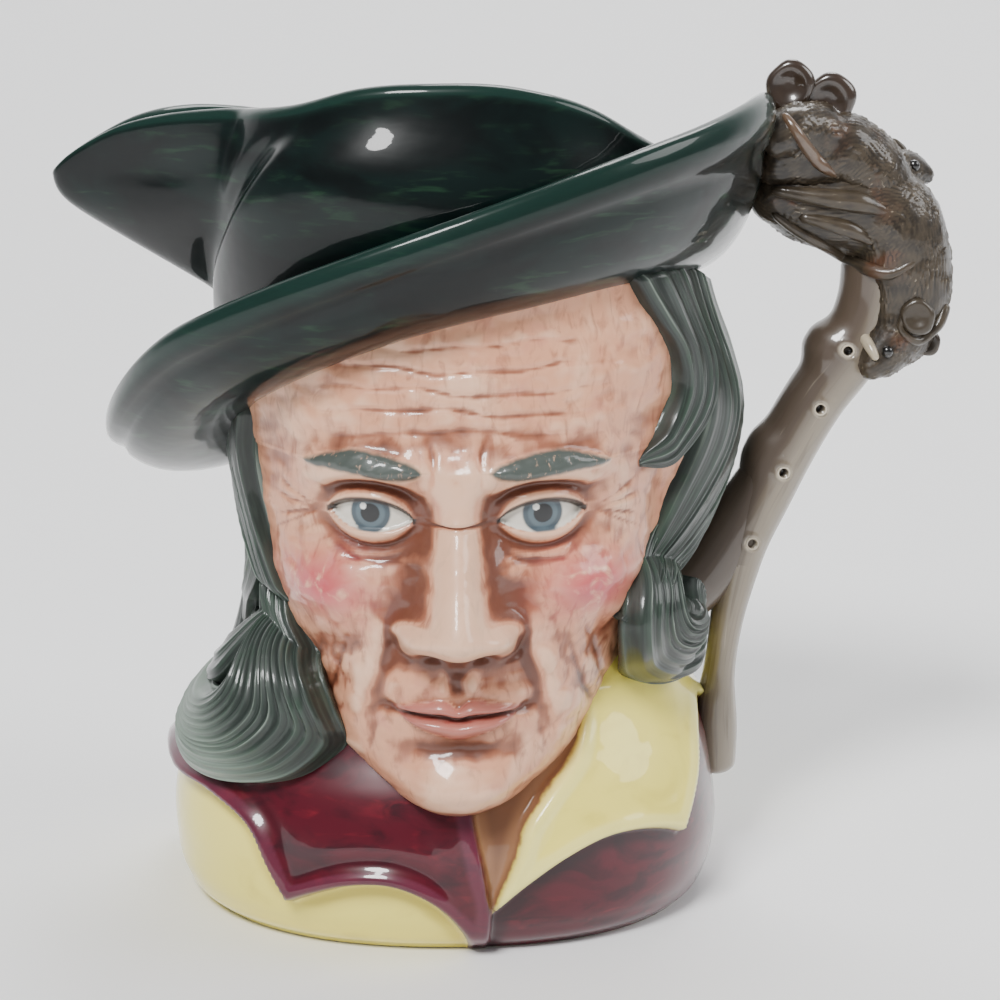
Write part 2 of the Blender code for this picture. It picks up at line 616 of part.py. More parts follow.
def finger_hole_cutters(collection):
    """Short drills that sink the finger holes into the front of the pipe."""
    made = []
    for n, (x, z) in enumerate(FINGER_HOLES):
        line = np.array([p for p, _, _ in PIPE], float)
        depth = np.array([d for _, _, d in PIPE])
        at = np.argmin(np.hypot(line[:, 0] - x, line[:, 2] - z))
        surface = (line[at, 1] - depth[at]) * UNIT
        length = 2 * FINGER_HOLE_DEPTH + 0.006
        bpy.ops.mesh.primitive_cylinder_add(
            vertices=14, radius=FINGER_HOLE_RADIUS, depth=length,
            location=(x * UNIT, surface + FINGER_HOLE_DEPTH - length / 2, z * UNIT), rotation=(math.pi / 2, 0, 0))
        drill = bpy.context.object
        drill.name = f"finger_hole_cutter_{n}"
        for owner in drill.users_collection:
            owner.objects.unlink(drill)
        collection.objects.link(drill)
        made.append(drill)
    return made


def glaze():
    """The jug's glaze where one colour has to stand for all of them."""
    material = bpy.data.materials.new("glazed_earthenware")
    material.use_nodes = True
    shader = material.node_tree.nodes["Principled BSDF"]
    shader.inputs["Base Color"].default_value = (0.035, 0.065, 0.055, 1)
    shader.inputs["Roughness"].default_value = 0.12
    shader.inputs["Metallic"].default_value = 0.0
    return material


def main():
    """Builds the jug."""
    for old in list(bpy.data.objects):
        bpy.data.objects.remove(old)
    parts = bpy.data.collections.new("toby_jug")
    cutters = bpy.data.collections.new("cutters")
    for collection in (parts, cutters):
        bpy.context.scene.collection.children.link(collection)
    pieces = [body(parts), brim(parts), *hair(parts), *pipe(parts), *animals(parts)]
    jug = fused(pieces, "toby_jug", parts)
    for cutter in (hollow(cutters), foot_cutter(cutters), *finger_hole_cutters(cutters)):
        cutter.hide_render = True
        cutter.display_type = "WIRE"
        add_boolean(jug, cutter)
    jug.data.materials.append(glaze())


if __name__ == "__main__":
    main()
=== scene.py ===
"""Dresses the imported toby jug: a glazed head jug with a brimmed hat, a spout and a pipe-shaped handle.

The forms are drawn in millimetres of the jug as it was cast, and MM turns them into the frame's metres.
The face looks along -Y, the handle is at +X, the spout at -X, and the foot stands on the plane Z = 0.
An angle on the jug is counted from the front towards the handle.
"""
from __future__ import annotations

import logging
import math
from dataclasses import dataclass, field
from enum import Enum
from functools import cached_property
from typing import Optional, Sequence

import bmesh
import bpy
import numpy as np
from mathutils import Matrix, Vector, noise


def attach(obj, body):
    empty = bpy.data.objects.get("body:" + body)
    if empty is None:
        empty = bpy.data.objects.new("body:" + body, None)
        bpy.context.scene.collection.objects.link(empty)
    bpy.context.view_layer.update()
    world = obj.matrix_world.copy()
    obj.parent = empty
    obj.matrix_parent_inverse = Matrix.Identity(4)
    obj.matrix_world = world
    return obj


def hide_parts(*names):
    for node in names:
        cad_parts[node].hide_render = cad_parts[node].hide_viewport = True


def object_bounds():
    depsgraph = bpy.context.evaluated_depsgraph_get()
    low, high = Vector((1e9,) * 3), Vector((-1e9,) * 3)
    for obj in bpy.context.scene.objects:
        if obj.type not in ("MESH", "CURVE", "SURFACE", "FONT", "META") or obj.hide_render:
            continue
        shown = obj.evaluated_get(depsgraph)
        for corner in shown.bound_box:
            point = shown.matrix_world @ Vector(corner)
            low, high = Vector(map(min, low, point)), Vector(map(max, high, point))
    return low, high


logging.basicConfig(level=logging.INFO, format="%(name)s: %(message)s")
LOG = logging.getLogger("toby_jug")

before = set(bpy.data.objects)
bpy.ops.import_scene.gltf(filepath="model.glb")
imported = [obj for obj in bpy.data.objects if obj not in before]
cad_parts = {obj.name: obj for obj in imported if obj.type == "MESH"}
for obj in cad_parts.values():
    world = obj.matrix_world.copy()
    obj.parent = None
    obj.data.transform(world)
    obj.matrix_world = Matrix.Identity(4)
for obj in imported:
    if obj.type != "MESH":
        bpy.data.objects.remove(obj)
CAD_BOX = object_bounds()

NODE = "toby_jug"
BODY = "root"
DRAWN_HEIGHT = 178.3
MM = (CAD_BOX[1][2] - CAD_BOX[0][2]) / DRAWN_HEIGHT

WALL = 4.5
FLOOR = 7.0
BRIM_LIP = 2.2
FINGER_HOLE = 1.15

Rows = Sequence[Sequence[float]]
Colour = tuple[float, float, float, float]


def hue(text: str) -> Colour:
    """Linear colour of a web colour.

    Args:
        text: six hexadecimal digits after a hash sign.

    Returns:
        Red, green, blue and an alpha of one.
    """
    parts = [int(text[i:i + 2], 16) / 255 for i in (1, 3, 5)]
    linear = [c / 12.92 if c <= 0.04045 else ((c + 0.055) / 1.055) ** 2.4 for c in parts]
    return (linear[0], linear[1], linear[2], 1.0)


def curve_through(table: np.ndarray, at: np.ndarray) -> np.ndarray:
    """Reads a smooth curve through the rows of a table.

    Args:
        table: rows whose first column is the place and whose others are the values.
        at: places to read.

    Returns:
        The values at each place, in a last axis.
    """
    keys, values = table[:, 0], table[:, 1:]
    slopes = np.gradient(values, keys, axis=0)
    at = np.clip(at, keys[0], keys[-1])
    i = np.clip(np.searchsorted(keys, at, side="right") - 1, 0, len(keys) - 2)
    gap = (keys[i + 1] - keys[i])[..., None]
    t = (at - keys[i])[..., None] / gap
    low, high = values[i], values[i + 1]
    rise = t * t * (3 - 2 * t)
    return (low * (1 - rise) + high * rise
            + slopes[i] * gap * t * (1 - t) ** 2 + slopes[i + 1] * gap * t * t * (t - 1))


def curve_around(table: np.ndarray, angle: np.ndarray) -> np.ndarray:
    """Reads a closed curve whose places are degrees round a full turn."""
    before, after = table[-2:].copy(), table[:3].copy()
    before[:, 0] -= 360
    after[:, 0] += 360
    return curve_through(np.vstack([before, table, after]), np.degrees(angle) % 360)


def step(value: np.ndarray, low: float, high: float) -> np.ndarray:
    """0 below low, 1 above high, and smooth in between."""
    t = np.clip((value - low) / (high - low), 0, 1)
    return t * t * (3 - 2 * t)


def larger(a: np.ndarray, b: np.ndarray, soft: float) -> np.ndarray:
    """The larger of two lengths, rounded over a length soft where they cross."""
    return np.logaddexp(a / soft, b / soft) * soft


def bell(value: np.ndarray, middle: float, width: float, power: float = 2.0) -> np.ndarray:
    """A rise of height 1 at middle that fades out over width."""
    return np.exp(-np.abs((value - middle) / width) ** power)


def mound(x: np.ndarray, z: np.ndarray, middle: tuple[float, float], size: tuple[float, float],
          power: float = 2.0) -> np.ndarray:
    """A round rise of height 1 at middle that fades out over size."""
    return np.exp(-np.abs((x - middle[0]) / size[0]) ** power - np.abs((z - middle[1]) / size[1]) ** power)


def place(radius: np.ndarray, angle: np.ndarray, z: np.ndarray) -> np.ndarray:
    """Points in millimetres from radius, angle from the front and height."""
    radius, angle, z = np.broadcast_arrays(radius, angle, z)
    return np.stack([radius * np.sin(angle), -radius * np.cos(angle), z], axis=-1)


def line_through(points: Rows, count: int, stretch: Sequence[float] = (1, 1, 1)) -> np.ndarray:
    """Evenly spaced points of a smooth line through the given ones.

    Args:
        points: the points to pass.
        count: how many points to read.
        stretch: weight of each coordinate when the spacing is measured.

    Returns:
        The points, one a row.
    """
    points = np.asarray(points, float)
    spans = np.linalg.norm(np.diff(points, axis=0) * np.asarray(stretch, float), axis=1)
    keys = np.concatenate([[0], np.cumsum(np.maximum(spans, 1e-6))])
    return curve_through(np.column_stack([keys, points]), np.linspace(0, keys[-1], count))


def blurred(field_: np.ndarray, reach: int) -> np.ndarray:
    """A grid of values averaged over a square of neighbours, twice."""
    for _ in range(2):
        for axis in (0, 1):
            padded = np.concatenate([np.repeat(field_.take([0], axis), reach, axis), field_,
                                     np.repeat(field_.take([-1], axis), reach, axis)], axis)
            total = np.cumsum(np.concatenate([np.zeros_like(padded.take([0], axis)), padded], axis), axis)
            span = 2 * reach + 1
            upper = total.take(range(span, total.shape[axis]), axis)
            lower = total.take(range(0, total.shape[axis] - span), axis)
            field_ = (upper - lower) / span
    return field_


def outline_distance(angle: np.ndarray, z: np.ndarray, outline: Rows, radius: float) -> np.ndarray:
    """Signed distance from a closed outline drawn on the jug, positive inside.

    Args:
        angle: angles of the points in radians.
        z: heights of the points in millimetres.
        outline: corners as degrees and height.
        radius: radius at which degrees are turned into millimetres.

    Returns:
        Distances in millimetres.
    """
    corners = np.array(outline, float)
    corners[:, 0] = np.radians(corners[:, 0]) * radius
    middle = (corners[:, 0].min() + corners[:, 0].max()) / 2
    full = 2 * math.pi * radius
    across = (angle * radius - middle + full / 2) % full - full / 2 + middle
    nearest = np.full(np.shape(z), 1e9)
    inside = np.zeros(np.shape(z), bool)
    for (x0, z0), (x1, z1) in zip(corners, np.roll(corners, -1, axis=0)):
        ex, ez = x1 - x0, z1 - z0
        t = np.clip(((across - x0) * ex + (z - z0) * ez) / max(ex * ex + ez * ez, 1e-9), 0, 1)
        nearest = np.minimum(nearest, np.hypot(across - x0 - t * ex, z - z0 - t * ez))
        slope = ez if abs(ez) > 1e-9 else 1e-9
        inside ^= ((z0 > z) != (z1 > z)) & (across < ex * (z - z0) / slope + x0)
    return np.where(inside, nearest, -nearest)


class MeshMaker:
    """Turns grids of points into closed meshes with named values at their points."""

    @staticmethod
    def make(name: str, points: np.ndarray, faces: list, values: dict[str, np.ndarray]) -> bpy.types.Object:
        """Makes an object whose faces point out.

        Args:
            name: the object's name.
            points: points in millimetres, one a row.
            faces: corners of each face.
            values: named numbers or vectors, one for each point.

        Returns:
            The new object, in the scene.
        """
        mesh = bpy.data.meshes.new(name)
        mesh.from_pydata((points * MM).tolist(), [], faces)
        for key, data in values.items():
            kind = "FLOAT_VECTOR" if data.ndim == 2 else "FLOAT"
            attribute = mesh.attributes.new(key, kind, "POINT")
            attribute.data.foreach_set("vector" if data.ndim == 2 else "value",
                                       data.astype(np.float32).ravel())
        shape = bmesh.new()
        shape.from_mesh(mesh)
        if shape.calc_volume(signed=True) < 0:
            bmesh.ops.reverse_faces(shape, faces=shape.faces)
        shape.to_mesh(mesh)
        shape.free()
        mesh.shade_smooth()
        made = bpy.data.objects.new(name, mesh)
        bpy.context.scene.collection.objects.link(made)
        return made

    @classmethod
    def rings(cls, name: str, rings: np.ndarray, values: dict[str, np.ndarray],
              closed: bool = False) -> bpy.types.Object:
        """Skins a stack of rings of points.

        Args:
            name: the object's name.
            rings: points by ring and place in the ring.
            values: named numbers by ring and place, or vectors.
            closed: whether the last ring joins the first; otherwise both ends are closed to a middle point.

        Returns:
            The new object.
        """
        rows, sides = rings.shape[:2]
        points = rings.reshape(-1, 3)
        flat = {key: data.reshape(rows * sides, *data.shape[2:]) for key, data in values.items()}
        low = np.arange(rows if closed else rows - 1)[:, None] * sides
        high = (low + sides) % (rows * sides)
        j = np.arange(sides)[None, :]
        k = (j + 1) % sides
        faces = np.stack([low + j, low + k, high + k, high + j], axis=-1).reshape(-1, 4).tolist()
        if not closed:
            points = np.vstack([points, rings[0].mean(axis=0), rings[-1].mean(axis=0)])
            flat = {key: np.concatenate([d, d[:1], d[-1:]]) for key, d in flat.items()}
            first, top = rows * sides, (rows - 1) * sides
            faces += [(first, (s + 1) % sides, s) for s in range(sides)]
            faces += [(first + 1, top + s, top + (s + 1) % sides) for s in range(sides)]
        return cls.make(name, points, faces, flat)

    @classmethod
    def slab(cls, name: str, outside: np.ndarray, inside: np.ndarray,
             values: dict[str, np.ndarray]) -> bpy.types.Object:
        """Skins a sheet of points and closes it with a coarser sheet behind it.

        Args:
            name: the object's name.
            outside: points by row and column.
            inside: points by the same rows and by fewer columns.
            values: named numbers or vectors of the outside points.

        Returns:
            The new object.
        """
        rows, columns = outside.shape[:2]
        few = inside.shape[1]
        points = np.vstack([outside.reshape(-1, 3), inside.reshape(-1, 3)])
        start = rows * columns
        flat = {}
        for key, data in values.items():
            seen = data.reshape(start, *data.shape[2:])
            flat[key] = np.concatenate([seen, np.repeat(seen[:1] * 0, rows * few, axis=0)])
        i = np.arange(rows - 1)[:, None]
        j = np.arange(columns - 1)[None, :]
        a = i * columns + j
        faces = np.stack([a, a + 1, a + columns + 1, a + columns], axis=-1).reshape(-1, 4).tolist()
        j = np.arange(few - 1)[None, :]
        b = start + i * few + j
        faces += np.stack([b, b + few, b + few + 1, b + 1], axis=-1).reshape(-1, 4).tolist()
        for row in range(rows - 1):
            left, below = row * columns, start + row * few
            faces.append((left, left + columns, below + few, below))
            right, under = left + columns - 1, below + few - 1
            faces.append((right + columns, right, under, under + few))
        first = list(range(columns)) + [start + c for c in range(few - 1, -1, -1)]
        last_row = (rows - 1) * columns
        last = [last_row + c for c in range(columns)] + [start + (rows - 1) * few + c
                                                         for c in range(few - 1, -1, -1)]
        faces += [first[::-1], last]
        return cls.make(name, points, faces, flat)

    @staticmethod
    def tube(line: np.ndarray, width: np.ndarray, depth: np.ndarray, out: np.ndarray,
             sides: int) -> np.ndarray:
        """Rings of an oval tube along a line.

        Args:
            line: the middle line's points.
            width: half width at each point, across the line and across out.
            depth: half depth at each point, along out.
            out: the direction that depth follows, for all points or for each.
            sides: points in a ring.

        Returns:
            Points by ring and place.
        """
        tangent = np.gradient(line, axis=0)
        tangent /= np.linalg.norm(tangent, axis=1)[:, None]
        out = np.broadcast_to(np.asarray(out, float), line.shape)
        out = out - tangent * (out * tangent).sum(axis=1)[:, None]
        out = out / np.linalg.norm(out, axis=1)[:, None]
        side = np.cross(tangent, out)
        turn = np.linspace(0, 2 * math.pi, sides, endpoint=False)
        ring = (np.cos(turn)[None, :, None] * side[:, None, :] * width[:, None, None]
                + np.sin(turn)[None, :, None] * out[:, None, :] * depth[:, None, None])
        return line[:, None, :] + ring


@dataclass
class JugForm:
    """The smooth forms that every piece is cut from: bust, head, crown, spout and rim."""

    bust: np.ndarray = field(default_factory=lambda: np.array([
        [0.0, 54.0, 52.0, 44.5, 48.0],
        [2.0, 57.0, 54.5, 47.5, 51.0],
        [6.0, 59.5, 56.5, 50.0, 53.5],
        [14.0, 61.0, 58.0, 52.0, 55.0],
        [26.0, 60.5, 57.0, 51.5, 55.0],
        [34.0, 58.0, 55.5, 49.0, 54.5],
        [42.0, 52.0, 52.5, 45.0, 54.0],
        [50.0, 46.0, 49.5, 43.0, 54.5],
        [60.0, 43.0, 48.5, 42.0, 55.0],
        [75.0, 42.0, 51.0, 42.0, 54.5],
        [92.0, 44.0, 57.0, 43.0, 52.5],
        [108.0, 46.0, 59.5, 45.0, 50.0],
        [120.0, 47.5, 57.0, 48.5, 48.5],
        [132.0, 49.0, 53.0, 53.0, 47.5],
        [144.0, 49.5, 50.0, 55.5, 47.5],
        [158.0, 49.0, 49.0, 56.0, 47.0],
        [172.0, 46.0, 46.5, 52.0, 44.5],
        [184.0, 43.0, 44.0, 48.0, 42.0],
    ]))
    face: np.ndarray = field(default_factory=lambda: np.array([
        [29.5, 3.0, 37.0],
        [31.0, 10.0, 49.0],
        [33.5, 15.0, 54.5],
        [38.0, 20.0, 58.0],
        [46.0, 27.0, 58.0],
        [56.0, 33.0, 57.0],
        [70.0, 37.5, 56.0],
        [85.0, 40.5, 55.5],
        [100.0, 43.5, 56.0],
        [115.0, 45.0, 55.0],
        [128.0, 45.0, 53.0],
        [140.0, 42.0, 50.0],
    ]))
    rim: np.ndarray = field(default_factory=lambda: np.array([
        [-86.0, 155.0],
        [-80.0, 161.0],
        [-73.0, 165.5],
        [-60.0, 170.5],
        [-49.0, 173.0],
        [-31.0, 174.3],
        [-19.0, 177.0],
        [-3.0, 178.0],
        [16.0, 177.2],
        [30.0, 173.5],
        [39.0, 168.5],
        [45.0, 165.5],
        [52.0, 164.0],
    ]))
    curls: tuple = ((-53.0, 49.0, 34.0, 17.5, 12.5), (49.0, 66.0, 20.0, 15.0, 7.5))
    bust_power: float = 2.25
    face_power: float = 2.2
    face_centre: tuple[float, float] = (2.0, -20.0)
    spout_reach: float = 86.0
    spout_turn: float = math.radians(-84.0)
    spout_half_angle: float = math.radians(27.0)
    spout_keel: tuple[float, float] = (129.0, 152.0)
    rim_fall: float = 0.09

    def bust_radius(self, angle: np.ndarray, z: np.ndarray) -> np.ndarray:
        """Radius of the bust, the head's back and the crown."""
        left, right, front, back = np.moveaxis(curve_through(self.bust, z), -1, 0)
        side, ahead = np.sin(angle), np.cos(angle)
        across = np.where(side > 0, right, left)
        along = np.where(ahead > 0, front, back)
        power = self.bust_power
        return (np.abs(side / across) ** power + np.abs(ahead / along) ** power) ** (-1 / power)

    def face_radius(self, angle: np.ndarray, z: np.ndarray) -> np.ndarray:
        """Radius of the face's plain oval, which is centred in front of the jug's middle."""
        half, reach = np.moveaxis(curve_through(self.face, z), -1, 0)
        depth = reach + self.face_centre[1]
        near, far = np.zeros(np.shape(angle + z)), np.full(np.shape(angle + z), 80.0)
        for _ in range(22):
            middle = (near + far) / 2
            x = (middle * np.sin(angle) - self.face_centre[0]) / half
            y = (-middle * np.cos(angle) - self.face_centre[1]) / depth
            inside = np.abs(x) ** self.face_power + np.abs(y) ** self.face_power < 1
            near, far = np.where(inside, middle, near), np.where(inside, far, middle)
        return np.where(z > self.face[0, 0], (near + far) / 2, 0)

    def spout_radius(self, angle: np.ndarray, z: np.ndarray) -> np.ndarray:
        """Radius of the drop-shaped spout, which grows out of the hat along a straight keel."""
        turn = np.abs((angle - self.spout_turn + math.pi) % (2 * math.pi) - math.pi)
        turn = np.sqrt(turn**2 + 0.0016) - 0.02
        start, end = self.spout_keel
        rise = np.clip(-larger(-(z - start) / (end - start), -1.0, 0.07), 0, 1)
        reach = 47 + (self.spout_reach - 47) * rise
        spread = np.minimum(self.spout_half_angle + turn, math.pi / 2)
        return np.where(z > start, reach * math.sin(self.spout_half_angle) / np.sin(spread), 0)

    def plain_radius(self, angle: np.ndarray, z: np.ndarray) -> np.ndarray:
        """Radius of the whole vessel without carving."""
        radius = larger(self.bust_radius(angle, z), self.face_radius(angle, z), 1.0)
        return larger(radius, self.spout_radius(angle, z), 1.0)

    def hair_radius(self, angle: np.ndarray, z: np.ndarray) -> np.ndarray:
        """Radius of the smooth hair, with a dome under each curl."""
        radius = larger(self.bust_radius(angle, z), self.face_radius(angle, z), 1.0)
        for turn, height, wide, tall, lift in self.curls:
            away = ((np.degrees(angle) - turn) / wide) ** 2 + ((z - height) / tall) ** 2
            radius = radius + lift * np.clip(1 - away, 0, 1) ** 0.85
        return radius

    def rim_height(self, angle: np.ndarray) -> np.ndarray:
        """Height of the open rim."""
        radius = self.plain_radius(angle, np.full(np.shape(angle), 166.0))
        x, y = radius * np.sin(angle), -radius * np.cos(angle)
        front = curve_through(self.rim, x)[..., 0]
        return front - self.rim_fall * (y + 50) * step(x, -70, -40)

    def inner_radius(self, angle: np.ndarray, z: np.ndarray, wall: float) -> np.ndarray:
        """Radius of the hollow, which keeps a full wall from the plain outside in every direction."""
        smallest = np.full(np.shape(angle + z), 1e9)
        shares = np.linspace(-1, 1, 7)
        for up in shares:
            for around in shares:
                left = 1 - up * up - around * around
                if left >= 0:
                    outside = self.plain_radius(angle + around * wall / 50, z + up * wall)
                    smallest = np.minimum(smallest, outside - wall * math.sqrt(left))
        return smallest

    @cached_property
    def hollow(self) -> tuple[np.ndarray, np.ndarray, np.ndarray]:
        """Angles, heights and the hollow's radius at each pair of them."""
        angles, heights = np.linspace(-math.pi, math.pi, 181), np.linspace(0, 184, 93)
        return angles, heights, self.inner_radius(angles[None, :], heights[:, None], WALL)

    def outside_hollow(self, points: np.ndarray) -> np.ndarray:
        """The same points, with those above the floor that lie in the hollow moved out into the wall."""
        angles, heights, table = self.hollow
        x, y, z = np.moveaxis(points, -1, 0)
        radius = np.maximum(np.hypot(x, y), 1e-6)
        across = (np.arctan2(x, -y) - angles[0]) / (angles[1] - angles[0])
        up = np.clip(z, heights[0], heights[-1]) / (heights[1] - heights[0])
        i, j = np.minimum(across.astype(int), len(angles) - 2), np.minimum(up.astype(int), len(heights) - 2)
        right, over = across - i, up - j
        limit = ((table[j, i] * (1 - right) + table[j, i + 1] * right) * (1 - over)
                 + (table[j + 1, i] * (1 - right) + table[j + 1, i + 1] * right) * over) + 0.35
        grown = np.where(z > FLOOR - 3, np.maximum(radius, limit), radius) / radius
        return np.stack([x * grown, y * grown, z], axis=-1)


class Brush:
    """Builds the node tree of one painted and glazed surface, from the ground colour up."""

    def __init__(self, name: str) -> None:
        """Starts a material with an empty ground."""
        self.material = bpy.data.materials.new(name)
        self.material.use_nodes = True
        self.tree = self.material.node_tree
        self.shader = self.tree.nodes["Principled BSDF"]
        self.coords = self.tree.nodes.new("ShaderNodeTexCoord").outputs["Object"]
        self.colour: Optional[bpy.types.NodeSocket] = None
        self.height: Optional[bpy.types.NodeSocket] = None

    def join(self, source: object, target: bpy.types.NodeSocket) -> None:
        """Links a socket, or writes a plain value into the target."""
        if isinstance(source, bpy.types.NodeSocket):
            self.tree.links.new(source, target)
        else:
            target.default_value = source

    def value(self, name: str) -> bpy.types.NodeSocket:
        """Reads a number painted on the mesh."""
        node = self.tree.nodes.new("ShaderNodeAttribute")
        node.attribute_name = name
        return node.outputs["Fac"]

    def flow(self, name: str) -> bpy.types.NodeSocket:
        """Reads a vector painted on the mesh."""
        node = self.tree.nodes.new("ShaderNodeAttribute")
        node.attribute_name = name
        return node.outputs["Vector"]

    def grain(self, size: float, detail: float = 3.0, stretch: Sequence[float] = (1, 1, 1),
              vector: Optional[bpy.types.NodeSocket] = None, warp: float = 0.0,
              turn: Sequence[float] = (0, 0, 0)) -> bpy.types.NodeSocket:
        """Noise with features of a size.

        Args:
            size: size of a feature in millimetres.
            detail: how many finer octaves it has.
            stretch: how much longer the features are along each axis.
            vector: coordinates in millimetres; the piece's own place when left out.
            warp: how much the noise bends itself.
            turn: how far the stretched axes are turned, in radians.

        Returns:
            A value around a half.
        """
        mapping = self.tree.nodes.new("ShaderNodeMapping")
        self.join(self.coords if vector is None else vector, mapping.inputs["Vector"])
        unit = MM if vector is None else 1.0
        mapping.inputs["Rotation"].default_value = turn
        mapping.inputs["Scale"].default_value = [1 / (size * unit * s) for s in stretch]
        node = self.tree.nodes.new("ShaderNodeTexNoise")
        self.join(mapping.outputs["Vector"], node.inputs["Vector"])
        node.inputs["Scale"].default_value = 1.0
        node.inputs["Detail"].default_value = detail
        node.inputs["Distortion"].default_value = warp
        return node.outputs["Fac"]

    def math(self, kind: str, a: object, b: object = 0.0) -> bpy.types.NodeSocket:
        """One arithmetic step."""
        node = self.tree.nodes.new("ShaderNodeMath")
        node.operation = kind
        self.join(a, node.inputs[0])
        self.join(b, node.inputs[1])
        return node.outputs[0]

    def between(self, value: object, low: float, high: float, top: float = 1.0) -> bpy.types.NodeSocket:
        """A mask that rises smoothly from 0 at low to top at high."""
        node = self.tree.nodes.new("ShaderNodeMapRange")
        node.interpolation_type = "SMOOTHSTEP"
        self.join(value, node.inputs["Value"])
        for key, number in (("From Min", low), ("From Max", high), ("To Min", 0.0), ("To Max", top)):
            node.inputs[key].default_value = number
        return node.outputs["Result"]

    def edge(self, name: str, soft: float = 0.25, wobble: float = 0.5,
             top: float = 1.0) -> bpy.types.NodeSocket:
        """A hand-painted edge where a signed distance in millimetres crosses zero."""
        shaky = self.math("MULTIPLY_ADD", self.grain(2.5, 2.0), wobble * 2)
        shaky.node.inputs[2].default_value = -wobble
        return self.between(self.math("ADD", self.value(name), shaky), -soft, soft, top)

    def ground(self, colour: Colour) -> None:
        """Sets the first colour."""
        node = self.tree.nodes.new("ShaderNodeRGB")
        node.outputs[0].default_value = colour
        self.colour = node.outputs[0]

    def wash(self, colour: Colour, mask: object, blend: str = "MIX") -> None:
        """Lays a colour over what is there, where the mask is.

        Args:
            colour: the colour.
            mask: a socket, or a number for all of the surface.
            blend: how the colour is laid on.
        """
        node = self.tree.nodes.new("ShaderNodeMix")
        node.data_type = "RGBA"
        node.blend_type = blend
        self.join(mask, node.inputs[0])
        self.join(self.colour, node.inputs[6])
        node.inputs[7].default_value = colour
        self.colour = node.outputs[2]

    def relief(self, height: bpy.types.NodeSocket, millimetres: float) -> None:
        """Adds fine unevenness of a depth."""
        scaled = self.math("MULTIPLY", height, millimetres * MM)
        self.height = scaled if self.height is None else self.math("ADD", self.height, scaled)

    def fire(self, roughness: float, glaze: float, gloss: float = 0.035,
             shine: tuple[float, float] = (1.5, 0.4)) -> bpy.types.Material:
        """Finishes the material under its clear glaze.

        Args:
            roughness: how rough the painted body under the glaze is.
            glaze: how strong the clear glaze is.
            gloss: how rough the glaze's own surface is.
            shine: the glaze's index of refraction, and how strongly the body under it mirrors.

        Returns:
            The material.
        """
        shader = self.shader
        self.join(self.colour, shader.inputs["Base Color"])
        shader.inputs["Roughness"].default_value = roughness
        shader.inputs["Coat Weight"].default_value = glaze
        shader.inputs["Coat Roughness"].default_value = gloss
        shader.inputs["Coat IOR"].default_value = shine[0]
        shader.inputs["Specular IOR Level"].default_value = shine[1]
        if self.height is not None:
            bump = self.tree.nodes.new("ShaderNodeBump")
            bump.inputs["Distance"].default_value = 1.0
            bump.inputs["Strength"].default_value = 1.0
            self.join(self.height, bump.inputs["Height"])
            self.join(bump.outputs["Normal"], shader.inputs["Normal"])
            self.join(bump.outputs["Normal"], shader.inputs["Coat Normal"])
        return self.material


